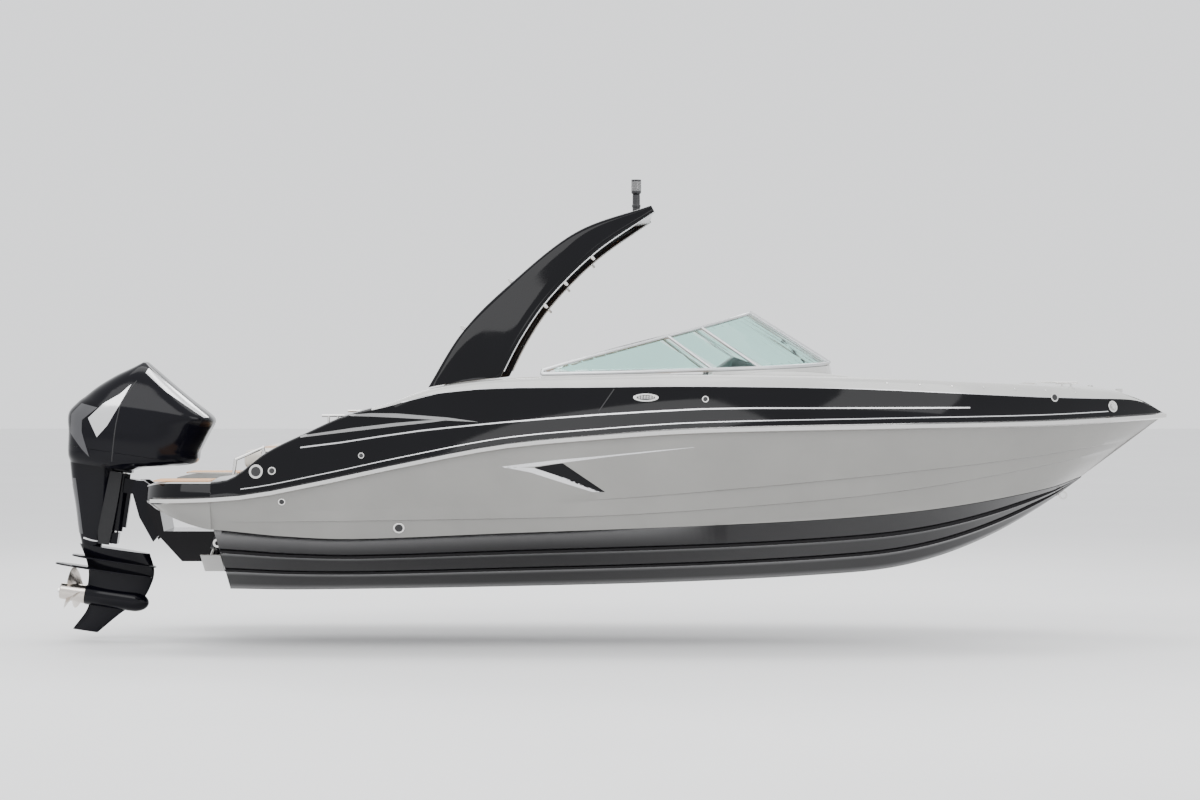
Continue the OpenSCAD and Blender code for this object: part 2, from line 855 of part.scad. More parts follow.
module side_fittings() {
    color("silver") {
        side_disc(st(-1680), 415, 44);
        side_disc(st(-1560), 430, 24);
        side_disc(st(-1530), 210, 24);
        side_disc(st(-770), 32, 38);
        side_disc(st(855), 888, 30);
        side_disc(st(1245), 878, 22);
    }
}

module eye(at_point) {
    translate(at_point)
        rotate([90, 0, 0])
            difference() {
                cylinder(h = 2 * eye_bar, r = eye_r + 2 * eye_bar, center = true);
                cylinder(h = 3 * eye_bar, r = eye_r, center = true);
            }
}

module bow_eye() {
    z = 205;
    x = st(3715) + eye_r + 2 * eye_bar;
    color("silver") {
        eye([x, 0, z]);
        translate([x - 46, 0, z]) rotate([0, 90, 0]) cylinder(h = 30 - eye_bar, r = 8);
    }
}

module stern_eyes() {
    x = transom_x - eye_r - 2 * eye_bar - 6;
    color("silver")
        both() {
            eye([x, 480, -100]);
            translate([transom_x - seat_gap - 8, 480, -100]) rotate([0, 90, 0]) cylinder(h = 8, r = 20);
        }
}

module grab_rails() {
    aft = st(-1860);
    fore = st(-1650);
    low = [aft, cap_y(aft) - 60, cap_z(aft) - 20];
    high = [fore, cap_y(fore) - 60, cap_z(fore) - 20];
    color("silver")
        both()
            one_piece()
                difference() {
                    union() {
                        rod(low, low + [20, 0, 140], grab_r, $fn = 20);
                        rod(low + [20, 0, 140], high + [-10, 0, 60], grab_r, $fn = 20);
                        rod(high, high + [-10, 0, 60], grab_r, $fn = 20);
                        for (p = [low + [20, 0, 140], high + [-10, 0, 60]])
                            translate(p) sphere(grab_r, $fn = 20);
                        for (p = [low, high]) translate(p) cylinder(h = 34, r = 24, $fn = 24);
                    }
                    translate([0, 0, seat_gap]) deck_body();
                }
}

// ---- Trim tabs ----

tab_y = 470;
deadrise = atan((chine_z(transom_x) - keel_z(transom_x)) / (chine_y(transom_x) - 95));
tab_z = keel_z(transom_x) + tab_y * tan(deadrise) - 4;
// The actuator's two pins, in the tab's frame
tab_pin_top = [-34, 0, 215];
tab_pin_low = [-90, 0, 22];
tab_line = unit(tab_pin_low - tab_pin_top);

// A tab's own frame: origin on its hinge, leaning with the hull's bottom
module on_tab() { translate([transom_x, tab_y, tab_z]) rotate([deadrise, 0, 0]) children(); }

module pin(at_point, h, r) { translate(at_point - [0, h / 2, 0]) rotate([-90, 0, 0]) cylinder(h = h, r = r); }

module trim_tab() {
    on_tab() {
        translate([-tab_l - 12, -tab_w / 2, -6]) cube([tab_l + 4, tab_w, 5]);
        pin([-6 - seat_gap, 0, -3.5], tab_w - 8, 6);
        for (dy = [-14, 10])
            translate([tab_pin_low[0] - 10, dy, -2]) cube([20, 4, tab_pin_low[2] + 12]);
    }
}

module tab_barrel() {
    on_tab() {
        difference() {
            rod(tab_pin_top + 4 * tab_line, tab_pin_top + 120 * tab_line, 24);
            rod(tab_pin_top + 12 * tab_line, tab_pin_top + 130 * tab_line, 10 + pin_fit);
        }
        pin(tab_pin_top, 30, 12);
        pin(tab_pin_top, 48, 6);
    }
}

module tab_rod() {
    on_tab() {
        rod(tab_pin_top + 70 * tab_line, tab_pin_low - 2 * tab_line, 10);
        pin(tab_pin_low, 16, 10);
    }
}

module trim_tab_port() { color("silver") trim_tab(); }
module trim_tab_starboard() { color("silver") mirror([0, 1, 0]) trim_tab(); }
module tab_barrel_port() { color("black") tab_barrel(); }
module tab_barrel_starboard() { color("black") mirror([0, 1, 0]) tab_barrel(); }
module tab_rod_port() { color("silver") tab_rod(); }
module tab_rod_starboard() { color("silver") mirror([0, 1, 0]) tab_rod(); }

// ---- Outboard ----

// The outboard's own frame: origin on the tilt tube, +X forward, +Z up the leg
module on_tilt() { translate(tilt) rotate([0, trim_rest, 0]) children(); }

module clamp_bracket() {
    aft = transom_x - 534;
    color("black") {
        for (y = [-155, 123])
            translate([0, y + 32, 0])
                rotate([90, 0, 0])
                    linear_extrude(32)
                        polygon([
                            [tilt[0] - 45, tilt[2] - 20], [tilt[0] - 20, tilt[2] + 42],
                            [tilt[0] + 40, tilt[2] + 42], [aft + 66, 240], [aft + 66, 185 + seat_gap],
                            [aft - 12.4, 185 + seat_gap], [aft - seat_gap, 124], [aft + 69 - seat_gap, -55],
                            [aft + 20, -110], [aft - 75, 60]
                        ]);
        translate([tilt[0], 0, tilt[2]])
            rotate([90, 0, 0]) cylinder(h = 250, r = tilt_r - 2 * pin_fit, center = true);
    }
}

module swivel_bracket() {
    color("black")
        on_tilt()
            difference() {
                union() {
                    rotate([90, 0, 0]) cylinder(h = 230, r = tilt_r + 22, center = true);
                    translate([kingpin_u, 0, -330]) cylinder(h = 400, r = kingpin_r + 24);
                    box([kingpin_u + 20, -60, -60], [-10, 60, 40]);
                    box([kingpin_u + 20, -20, -300], [kingpin_u + 70, 20, -40]);
                }
                rotate([90, 0, 0]) cylinder(h = 260, r = tilt_r, center = true);
                translate([kingpin_u, 0, -340]) cylinder(h = 420, r = kingpin_r + pin_fit);
            }
}

module midsection() {
    function ring(u0, u1, half, w) = [
        for (p = oval((u1 - u0) / 2, half, 0.7)) [p[0] + (u0 + u1) / 2, p[1], w]
    ];
    color("black")
        on_tilt() {
            one_piece()
                skin([
                    for (k = [
                        [-344, -210, 70, -452], [-370, -196, 90, -380], [-421, -192, 118, -194],
                        [-470, -190, 140, -40], [-505, -188, 160, 100]
                    ]) ring(k[0], k[1], k[2], k[3])
                ]);
            translate([kingpin_u, 0, -400]) cylinder(h = 500, r = kingpin_r);
            box([kingpin_u - 66, -50, -420], [kingpin_u + 30, 50, -340]);
            box([kingpin_u - 66, -60, 78], [kingpin_u + 60, 60, 100]);
        }
}

COWL = [
    [100.3, -500, -60, 0.36], [135, -515, 20, 0.42], [170, -524, 200, 0.46], [212, -530, 346, 0.48],
    [300, -539, 368, 0.5],
    [430, -557, 412, 0.5], [520, -500, 440, 0.49], [560, -460, 405, 0.47], [640, -384, 262, 0.42],
    [735, -269, 106, 0.34], [807, -162, -6, 0.24], [845, -110, -66, 0.14], [853, -98, -80, 0.1]
];

function cowl_ring(k) = [
    for (p = oval((k[2] - k[1]) / 2, k[3] * cowl_w, 0.62, 28)) [p[0] + (k[1] + k[2]) / 2, p[1], k[0]]
];

module lower_cowl() {
    color("black") on_tilt() one_piece() skin([for (k = [0:3]) cowl_ring(COWL[k])]);
}

module top_cowl() {
    color("black")
        on_tilt()
            one_piece()
                difference() {
                    skin([for (k = [3:len(COWL) - 1]) cowl_ring(COWL[k] + [k == 3 ? seat_gap : 0, 0, 0, 0])]);
                    box([-330, -170, 200], [160, 170, 560]);
                }
}

module powerhead() {
    color("dimgray") on_tilt() box([-320, -160, 212 + seat_gap], [150, 160, 540]);
}

module gearcase() {
    function foil(u0, u1, half, w) = [for (p = oval((u1 - u0) / 2, half, 1)) [p[0] + (u0 + u1) / 2, p[1], w]];
    color("black")
        on_tilt()
            one_piece() {
                skin([
                    for (k = [
                        [-322, -150, 7, -1045], [-240, 0, 16, -880],
                        [-262, 120, 34, -780], [-270, 172, 44, -650],
                        [-300, 175, 60, -560], [-361, 129, 92, -452.3]
                    ]) foil(k[0], k[1], k[2], k[3])
                ]);
                translate([-270, 0, -795])
                    rotate([0, 90, 0]) {
                        cylinder(h = 330, r = torpedo_r);
                        translate([0, 0, 330]) scale([1, 1, 1.6]) sphere(torpedo_r);
                    }
                pad([-505, -105, -618], [170, 105, -604], 60);
            }
}

module blade(turn) {
    steps = 7;
    skin([
        for (i = [0:steps])
            let (
                g = i / steps, r = lerp(40, prop_r, g),
                chord = 150 * sqrt(max(0.02, 1 - pow(1.7 * g - 0.75, 2))), pitch = atan(430 / (2 * PI * r)),
                mid = -395 - 30 * g
            )
            [
                for (p = [[-0.5, 0], [-0.2, 4], [0.2, 4], [0.5, 0], [0.2, -4], [-0.2, -4]])
                    let (
                        c = p[0] * chord, th = p[1] * (1.3 - g),
                        u = c * sin(pitch) + th * cos(pitch),
                        a = (c * cos(pitch) - th * sin(pitch)) / r * 180 / PI
                    )
                    [mid + u + 52, r * sin(a + turn), r * cos(a + turn)]
            ]
    ]);
}

module propeller() {
    color("silver")
        on_tilt()
            translate([0, 0, -795]) {
                one_piece() {
                    translate([-446, 0, 0]) rotate([0, 90, 0]) cylinder(h = 176 - seat_gap, r1 = 56, r2 = 66);
                    for (i = [0:blades - 1]) blade(360 / blades * i);
                }
            }
}

hull_shell();
deck();
rub_rail();
cockpit_sole();
swim_platform();
platform_mats();
engine_pod();
windshield_base();
windshield_frame();
side_glass();
front_glass();
center_window();
walkthrough_door();
sport_arch();
arch_light();
helm_console();
port_console();
dash_hood();
throttle();
steering_wheel();
seat_pedestals();
helm_seat();
companion_seat();
stern_bench();
sun_pad();
bow_cushions();
anchor_locker_lid();
deck_hardware();
side_fittings();
bow_eye();
stern_eyes();
grab_rails();
trim_tab_port();
trim_tab_starboard();
tab_barrel_port();
tab_barrel_starboard();
tab_rod_port();
tab_rod_starboard();
clamp_bracket();
swivel_bracket();
midsection();
lower_cowl();
top_cowl();
powerhead();
gearcase();
propeller();
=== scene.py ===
# Outboard bowrider speedboat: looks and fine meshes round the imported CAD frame. Metres, row frame.
import math
import bmesh
import bpy
from mathutils import Matrix, Vector
from mathutils.bvhtree import BVHTree


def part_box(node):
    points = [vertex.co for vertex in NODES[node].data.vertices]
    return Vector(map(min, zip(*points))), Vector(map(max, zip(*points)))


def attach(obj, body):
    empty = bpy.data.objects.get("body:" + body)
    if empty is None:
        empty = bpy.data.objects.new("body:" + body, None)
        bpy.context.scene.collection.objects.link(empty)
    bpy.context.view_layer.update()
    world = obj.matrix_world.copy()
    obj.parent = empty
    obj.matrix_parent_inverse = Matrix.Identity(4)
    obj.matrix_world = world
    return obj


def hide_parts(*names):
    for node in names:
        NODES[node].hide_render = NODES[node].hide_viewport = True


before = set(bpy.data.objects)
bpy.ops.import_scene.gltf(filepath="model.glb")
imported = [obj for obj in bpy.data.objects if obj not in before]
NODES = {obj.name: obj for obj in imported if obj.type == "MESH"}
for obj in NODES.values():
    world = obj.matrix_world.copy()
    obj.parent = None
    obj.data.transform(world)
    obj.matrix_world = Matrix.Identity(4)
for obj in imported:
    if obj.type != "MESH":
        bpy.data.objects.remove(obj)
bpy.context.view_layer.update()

# ---- Camera, floor and light ----

FLOOR_Z = -0.79
EYE = Vector((0.55, -23.0, 1.083))
SIDES = (-1, "starboard"), (1, "port")


def make_stage():
    camera_data = bpy.data.cameras.new("camera")
    camera_data.lens = 100
    camera_data.sensor_width = 36
    camera_data.clip_end = 200
    camera = bpy.data.objects.new("camera", camera_data)
    camera.location = EYE
    camera.rotation_euler = (math.radians(90 - 0.55), 0, 0)
    bpy.context.collection.objects.link(camera)
    bpy.context.scene.camera = camera
    bpy.ops.mesh.primitive_plane_add(size=160, location=(0, 0, FLOOR_Z))
    floor = bpy.context.object
    floor.name = "floor"
    floor.data.materials.append(plain_floor())
    world = bpy.data.worlds.new("studio")
    world.use_nodes = True
    world.node_tree.nodes["Background"].inputs[0].default_value = (0.97, 0.98, 1.0, 1)
    world.node_tree.nodes["Background"].inputs[1].default_value = 1.5
    bpy.context.scene.world = world
    lamps = [
        ("key", (-3, -9, 9), (48, 0, -18), (12, 5), 800),
        ("fill", (7, -8, 5), (62, 0, 40), (5, 5), 300),
        ("top", (0, 1, 9), (0, 0, 0), (10, 4), 500),
        ("back", (0, 9, 7), (-50, 0, 0), (9, 3), 450),
    ]
    for name, place, turn, size, power in lamps:
        light = bpy.data.lights.new(name, "AREA")
        light.shape = "RECTANGLE"
        light.size, light.size_y = size
        light.energy = power
        lamp = bpy.data.objects.new(name, light)
        lamp.location = place
        lamp.rotation_euler = [math.radians(a) for a in turn]
        bpy.context.collection.objects.link(lamp)


# ---- Materials ----

def shader(name):
    material = bpy.data.materials.new(name)
    material.use_nodes = True
    return material, material.node_tree, material.node_tree.nodes["Principled BSDF"]


def node(tree, kind, **inputs):
    made = tree.nodes.new(kind)
    for key, value in inputs.items():
        made.inputs[key.replace("_", " ")].default_value = value
    return made


def noise(tree, scale, stretch=(1, 1, 1), detail=4.0):
    place = tree.nodes.new("ShaderNodeTexCoord")
    move = tree.nodes.new("ShaderNodeMapping")
    move.inputs["Scale"].default_value = stretch
    tree.links.new(place.outputs["Object"], move.inputs["Vector"])
    made = node(tree, "ShaderNodeTexNoise", Scale=scale, Detail=detail)
    tree.links.new(move.outputs["Vector"], made.inputs["Vector"])
    return made.outputs["Fac"]


def ramp(tree, source, stops):
    made = tree.nodes.new("ShaderNodeValToRGB")
    while len(made.color_ramp.elements) < len(stops):
        made.color_ramp.elements.new(0.5)
    for element, (place, colour) in zip(made.color_ramp.elements, stops):
        element.position = place
        element.color = (*colour, 1)
    tree.links.new(source, made.inputs["Fac"])
    return made.outputs["Color"]


def bump(tree, bsdf, height, strength, distance=0.001):
    made = node(tree, "ShaderNodeBump", Strength=strength, Distance=distance)
    tree.links.new(height, made.inputs["Height"])
    tree.links.new(made.outputs["Normal"], bsdf.inputs["Normal"])


def spread(tree, source, low, high):
    made = tree.nodes.new("ShaderNodeMapRange")
    made.inputs["To Min"].default_value = low
    made.inputs["To Max"].default_value = high
    tree.links.new(source, made.inputs["Value"])
    return made.outputs["Result"]


def shade(colour, factor):
    return tuple(c * factor for c in colour)


def coated(name, colour, rough=0.12, vary=0.05, coat=1.0, peel=0.05, metallic=0.0, cloud=0.06, shine=0.5):
    """Gelcoat or paint: a slightly uneven colour and gloss under a clear coat, with fine orange peel."""
    material, tree, bsdf = shader(name)
    clouds = noise(tree, 2.2)
    tree.links.new(ramp(tree, clouds, [(0.3, shade(colour, 1 - cloud)), (0.7, shade(colour, 1 + cloud))]),
                   bsdf.inputs["Base Color"])
    tree.links.new(spread(tree, noise(tree, 14.0), rough - vary, rough + vary), bsdf.inputs["Roughness"])
    bsdf.inputs["Metallic"].default_value = metallic
    bsdf.inputs["Coat Weight"].default_value = coat
    bsdf.inputs["Coat Roughness"].default_value = 0.03
    bsdf.inputs["Specular IOR Level"].default_value = shine
    bump(tree, bsdf, noise(tree, 420.0, detail=2.0), peel, 0.0004)
    return material


def metal(name, colour, rough=0.16, stretch=(1, 1, 1), strength=0.08):
    material, tree, bsdf = shader(name)
    streaks = noise(tree, 260.0, stretch, 6.0)
    tree.links.new(ramp(tree, streaks, [(0.3, shade(colour, 0.86)), (0.7, colour)]), bsdf.inputs["Base Color"])
    tree.links.new(spread(tree, streaks, rough - 0.06, rough + 0.1), bsdf.inputs["Roughness"])
    bsdf.inputs["Metallic"].default_value = 1.0
    bump(tree, bsdf, streaks, strength, 0.0003)
    return material


def plastic(name, colour, rough=0.45, scale=700.0, strength=0.25):
    material, tree, bsdf = shader(name)
    grain = noise(tree, scale, detail=3.0)
    tree.links.new(ramp(tree, noise(tree, 9.0), [(0.3, shade(colour, 0.85)), (0.7, shade(colour, 1.15))]),
                   bsdf.inputs["Base Color"])
    tree.links.new(spread(tree, noise(tree, 40.0), rough - 0.08, rough + 0.1), bsdf.inputs["Roughness"])
    bump(tree, bsdf, grain, strength, 0.0006)
    return material


def leather(name, colour):
    material, tree, bsdf = shader(name)
    place = tree.nodes.new("ShaderNodeTexCoord")
    cells = node(tree, "ShaderNodeTexVoronoi", Scale=330.0)
    tree.links.new(place.outputs["Object"], cells.inputs["Vector"])
    tree.links.new(ramp(tree, noise(tree, 5.0), [(0.3, shade(colour, 0.92)), (0.7, shade(colour, 1.05))]),
                   bsdf.inputs["Base Color"])
    tree.links.new(spread(tree, noise(tree, 30.0), 0.38, 0.56), bsdf.inputs["Roughness"])
    bsdf.inputs["Sheen Weight"].default_value = 0.15
    bump(tree, bsdf, cells.outputs["Distance"], 0.35, 0.0008)
    return material


def decking(name, colour, groove, pitch=0.06):
    """Foam decking: brushed planks along the boat with pale grooves between them."""
    material, tree, bsdf = shader(name)
    place = tree.nodes.new("ShaderNodeTexCoord")
    split = tree.nodes.new("ShaderNodeSeparateXYZ")
    tree.links.new(place.outputs["Object"], split.inputs[0])
    share = tree.nodes.new("ShaderNodeMath")
    share.operation = "PINGPONG"
    share.inputs[1].default_value = pitch / 2
    tree.links.new(split.outputs["Y"], share.inputs[0])
    line = tree.nodes.new("ShaderNodeMath")
    line.operation = "LESS_THAN"
    line.inputs[1].default_value = 0.0028
    tree.links.new(share.outputs[0], line.inputs[0])
    grain = ramp(tree, noise(tree, 60.0, (0.06, 1, 1), 6.0), [(0.3, shade(colour, 0.82)), (0.7, shade(colour, 1.1))])
    mix = tree.nodes.new("ShaderNodeMix")
    mix.data_type = "RGBA"
    tree.links.new(line.outputs[0], mix.inputs["Factor"])
    tree.links.new(grain, mix.inputs[6])
    mix.inputs[7].default_value = (*groove, 1)
    tree.links.new(mix.outputs[2], bsdf.inputs["Base Color"])
    bsdf.inputs["Roughness"].default_value = 0.75
    fine = noise(tree, 900.0, (0.2, 1, 1), 2.0)
    depth = tree.nodes.new("ShaderNodeMath")
    depth.operation = "SUBTRACT"
    tree.links.new(fine, depth.inputs[0])
    tree.links.new(line.outputs[0], depth.inputs[1])
    bump(tree, bsdf, depth.outputs[0], 0.4, 0.0015)
    return material


def tinted_glass(name, colour):
    material, tree, bsdf = shader(name)
    tree.links.new(ramp(tree, noise(tree, 1.5), [(0.3, shade(colour, 0.96)), (0.7, colour)]),
                   bsdf.inputs["Base Color"])
    tree.links.new(spread(tree, noise(tree, 6.0), 0.0, 0.03), bsdf.inputs["Roughness"])
    bsdf.inputs["Transmission Weight"].default_value = 1.0
    bsdf.inputs["IOR"].default_value = 1.12
    bsdf.inputs["Specular IOR Level"].default_value = 1.0
    return material


def lens(name, colour):
    material, tree, bsdf = shader(name)
    tree.links.new(ramp(tree, noise(tree, 80.0), [(0.3, shade(colour, 0.9)), (0.7, colour)]),
                   bsdf.inputs["Base Color"])
    bsdf.inputs["Transmission Weight"].default_value = 0.85
    bsdf.inputs["Roughness"].default_value = 0.08
    bump(tree, bsdf, noise(tree, 150.0), 0.1)
    return material


def plain_floor():
    material, tree, bsdf = shader("floor")
    tree.links.new(ramp(tree, noise(tree, 0.4), [(0.3, (0.83, 0.83, 0.83)), (0.7, (0.86, 0.86, 0.86))]),
                   bsdf.inputs["Base Color"])
    bsdf.inputs["Roughness"].default_value = 0.6
    return material


PALE = coated("gelcoat_grey", (0.215, 0.212, 0.200), rough=0.16, coat=0.3)
WHITE = coated("gelcoat_white", (0.50, 0.50, 0.485), rough=0.18, coat=0.4)
DARK = coated("gelcoat_black", (0.002, 0.002, 0.003), rough=0.06, coat=0.03, cloud=0.15, shine=0.16)
BOTTOM = coated("gelcoat_bottom", (0.004, 0.0035, 0.0045), rough=0.1, coat=0.02, cloud=0.15, shine=0.16)
# Silver for the printed graphics and trims, and also for the painted highlight along the deck side's crease line.
SILVER = coated("silver_graphic_and_painted_highlight", (0.62, 0.62, 0.63), rough=0.25, metallic=0.6)
MOULDING = coated("moulding_grey", (0.20, 0.20, 0.20), rough=0.25)
STEEL = metal("stainless", (0.80, 0.79, 0.77), 0.13)
ALLOY = metal("anodised_frame", (0.62, 0.63, 0.64), 0.3, (0.1, 1, 1))
PROP_STEEL = metal("prop_steel", (0.66, 0.61, 0.56), 0.2, (0.2, 1, 1))
GLASS = tinted_glass("screen_tint", (0.72, 0.92, 0.88))
LENS = lens("clear_lens", (0.95, 0.95, 0.95))
RUBBER = plastic("black_rubber", (0.015, 0.015, 0.016), 0.6, 500.0, 0.3)
PLASTIC = plastic("black_plastic", (0.02, 0.02, 0.022), 0.42)
VINYL = leather("cream_vinyl", (0.66, 0.62, 0.55))
TAN = leather("tan_vinyl", (0.50, 0.27, 0.12))
GREY_VINYL = leather("grey_vinyl", (0.34, 0.34, 0.34))
DECKING = decking("foam_decking", (0.56, 0.33, 0.17), (0.80, 0.76, 0.70))
MAT = decking("platform_decking", (0.70, 0.38, 0.18), (0.86, 0.83, 0.78))
ENGINE = coated("engine_black", (0.002, 0.002, 0.004), rough=0.14, peel=0.06, coat=0.03, shine=0.16)
ENGINE_GREY = coated("engine_grey", (0.050, 0.050, 0.054), rough=0.30, peel=0.2, coat=0.1)
ENGINE_PANEL = coated("engine_panel", (0.010, 0.010, 0.011), rough=0.24, peel=0.2, coat=0.05, shine=0.25)
IRON = plastic("cast_block", (0.05, 0.05, 0.05), 0.6, 200.0, 0.6)
LINER = coated("liner_white", (0.72, 0.72, 0.70), rough=0.3, peel=0.3)


# ---- Mesh helpers ----

def finish_mesh(name, body, mesh, materials, angle=32, replaces=()):
    for material in materials:
        mesh.materials.append(material)
    for face in mesh.polygons:
        face.use_smooth = True
    mesh.set_sharp_from_angle(angle=math.radians(angle))
    piece = bpy.data.objects.new(name, mesh)
    bpy.context.collection.objects.link(piece)
    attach(piece, body)
    if replaces:
        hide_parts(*replaces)
    return piece


def lofted(name, body, rings, materials, angle=32, replaces=()):
    return finish_mesh(name, body, outward(ring_mesh(name, rings)), materials, angle, replaces)


def mesh_of(name, points, faces, kinds=None):
    mesh = bpy.data.meshes.new(name)
    mesh.from_pydata([tuple(p) for p in points], [], faces)
    if kinds:
        for face, kind in zip(mesh.polygons, kinds):
            face.material_index = kind
    mesh.validate()
    return mesh


def ring_mesh(name, rings, kind_of=None, caps=True):
    """A closed skin through rings of equal point counts; kind_of(j, i) gives a face's material."""
    count = len(rings[0])
    points = [p for ring in rings for p in ring]
    faces, kinds = [], []
    for j in range(len(rings) - 1):
        for i in range(count):
            a, b = j * count + i, j * count + (i + 1) % count
            faces.append((a, b, b + count, a + count))
            kinds.append(kind_of(j, i) if kind_of else 0)
    if caps:
        faces.append(tuple(range(count - 1, -1, -1)))
        faces.append(tuple(range((len(rings) - 1) * count, len(rings) * count)))
        kinds += [kind_of(0, 0) if kind_of else 0, kind_of(len(rings) - 2, 0) if kind_of else 0]
    return mesh_of(name, points, faces, kinds)


def outward(mesh):
    bm = bmesh.new()
    bm.from_mesh(mesh)
    bmesh.ops.remove_doubles(bm, verts=bm.verts, dist=1e-6)
    bmesh.ops.recalc_face_normals(bm, faces=bm.faces)
    bm.to_mesh(mesh)
    bm.free()
    return mesh


def tube(path, radius, sides=14):
    """Rings round a path for ring_mesh, with a steady frame."""
    rings = []
    up = Vector((0, 0, 1))
    for i, p in enumerate(path):
        ahead = (path[min(i + 1, len(path) - 1)] - path[max(i - 1, 0)]).normalized()
        side = up.cross(ahead)
        side = side.normalized() if side.length > 1e-4 else Vector((0, 1, 0))
        top = ahead.cross(side)
        rings.append([p + radius * (math.cos(a) * side + math.sin(a) * top)
                      for a in [2 * math.pi * k / sides for k in range(sides)]])
    return rings


def bar(name, path, radius, body, material, replaces=(), sides=14):
    rings = tube([Vector(p) for p in path], radius, sides)
    return lofted(name, body, rings, [material], replaces=replaces)


def bevelled(name, bm, body, materials, width=0.004, replaces=()):
    mesh = bpy.data.meshes.new(name)
    bm.to_mesh(mesh)
    bm.free()
    piece = finish_mesh(name, body, mesh, materials, replaces=replaces)
    add = piece.modifiers.new("edge", "BEVEL")
    add.width = width
    add.segments = 3
    add.limit_method = "ANGLE"
    return piece


def block(bm, low, high, kind=0):
    made = bmesh.ops.create_cube(bm, size=1)
    for v in made["verts"]:
        v.co = Vector([low[k] if v.co[k] < 0 else high[k] for k in range(3)])
    for f in {f for v in made["verts"] for f in v.link_faces}:
        f.material_index = kind
    return made["verts"]


def disc(bm, centre, axis, radius, depth, kind=0, sides=32, top=None):
    turn = Vector((0, 0, 1)).rotation_difference(Vector(axis)).to_matrix().to_4x4()
    made = bmesh.ops.create_cone(bm, cap_ends=True, segments=sides, radius1=radius,
                                 radius2=radius if top is None else top, depth=depth,
                                 matrix=Matrix.Translation(centre) @ turn)
    for f in {f for v in made["verts"] for f in v.link_faces}:
        f.material_index = kind
    return made["verts"]


# ---- Fair lines of the hull, as [station, value] in metres ----

def fair(knots):
    return [(a / 1000, b / 1000) for a, b in knots]


RAIL_Z = fair([(-2450, 205), (-1800, 236), (-1280, 332), (-755, 444), (-100, 568), (550, 630),
               (1200, 672), (2520, 699), (3570, 716), (4435, 755)])
RAIL_Y = fair([(-2450, 1130), (-2150, 1205), (-1500, 1250), (0, 1265), (1000, 1260), (1900, 1225),
               (2500, 1140), (3000, 985), (3500, 735), (4000, 400), (4300, 145), (4435, 8)])
CHINE_Z = fair([(-2450, 40), (-2000, 22), (-1550, -21), (-1090, -40), (-100, -4), (1200, 43), (2200, 93),
                (2890, 155), (3610, 267), (3870, 335)])
CHINE_Y = fair([(-2000, 1120), (0, 1100), (1000, 1070), (1900, 1000), (2500, 870), (2900, 730),
                (3250, 550), (3600, 310), (3870, 8)])
KEEL_Z = fair([(-2000, -440), (-1520, -446), (-140, -425), (1240, -387), (2275, -328), (2620, -283),
               (2965, -187), (3310, -35), (3655, 172), (3870, 330)])
CAP_Z = fair([(-2000, 336), (-1863, 362), (-1633, 532), (-1371, 660), (-1128, 768), (-840, 852),
              (-604, 935), (-433, 972), (-100, 1008), (550, 1027), (1200, 1036), (2130, 1024),
              (2860, 994), (3570, 959), (4010, 924), (4250, 864), (4435, 775)])
LIP = fair([(-1000, 12), (-400, 46), (500, 70), (2860, 76), (3570, 74), (4010, 50), (4250, 10), (4435, 6)])
LEAN = fair([(-2000, 30), (-1300, 60), (-300, 95), (2500, 95), (3500, 60), (4100, 35), (4435, 2)])
BULGE = fair([(-2000, 12), (600, 22), (2400, 0), (3300, -28), (4435, -8)])
STEM_X, CHINE_END, TRANSOM_X, PLATFORM_AFT = 4.435, 3.87, -2.0, -2.45
KEEL_HALF = 0.008
GUNWALE = 0.185
WELL_HALF = 0.62


def curve(knots, x):
    """The smooth curve through the knots that part.scad uses."""
    last = len(knots) - 1
    i = 0
    while i < last - 1 and x >= knots[i + 1][0]:
        i += 1

    def slope(k):
        a, b = max(k - 1, 0), min(k + 1, last)
        return (knots[b][1] - knots[a][1]) / (knots[b][0] - knots[a][0])
    w = knots[i + 1][0] - knots[i][0]
    t = max(0.0, min(1.0, (x - knots[i][0]) / w))
    return ((2 * t**3 - 3 * t * t + 1) * knots[i][1] + (t**3 - 2 * t * t + t) * w * slope(i)
            + (3 * t * t - 2 * t**3) * knots[i + 1][1] + (t**3 - t * t) * w * slope(i + 1))


def lerp(a, b, t):
    return a + (b - a) * t


def clamp(t):
    return max(0.0, min(1.0, t))


def cap_y(x):
    return curve(RAIL_Y, x) - curve(LEAN, x)


def inner_y(x):
    return curve(RAIL_Y, x) - GUNWALE


def skin_y(x, z):
    """Half-breadth of the hull at a station and height, as part.scad has it."""
    def up_side(low, high):
        return clamp((z - curve(CHINE_Z, low)) / (curve(RAIL_Z, high) - curve(CHINE_Z, low)))
    t = clamp((x - TRANSOM_X) / (lerp(CHINE_END, STEM_X, up_side(x, x)) - TRANSOM_X))
    xb, xr = lerp(TRANSOM_X, CHINE_END, t), lerp(TRANSOM_X, STEM_X, t)
    f, kz, cz = up_side(xb, xr), curve(KEEL_Z, xb), curve(CHINE_Z, xb) - 0.004
    if f > 0:
        return lerp(curve(CHINE_Y, xb), curve(RAIL_Y, xr), f) + 4 * f * (1 - f) * curve(BULGE, (xb + xr) / 2)
    return clamp((z - kz) / (cz - kz)) * curve(CHINE_Y, xb) - 0.010


def room_y(x, z):
    return min(inner_y(x), skin_y(x, z) - 0.030)


# ---- Hull and deck ----

KNUCKLE_LOW = fair([(-2000, 70), (-500, 88), (600, 110), (1600, 170), (2600, 262), (3500, 405), (4435, 600)])
KNUCKLE_HIGH = fair([(-2000, 120), (500, 215), (1600, 300), (2600, 395), (3500, 495), (4435, 640)])
ROWS = 5


def knuckle_share(knots, x, low, high):
    return max(0.06, min(0.94, (curve(knots, x) - low) / (high - low)))


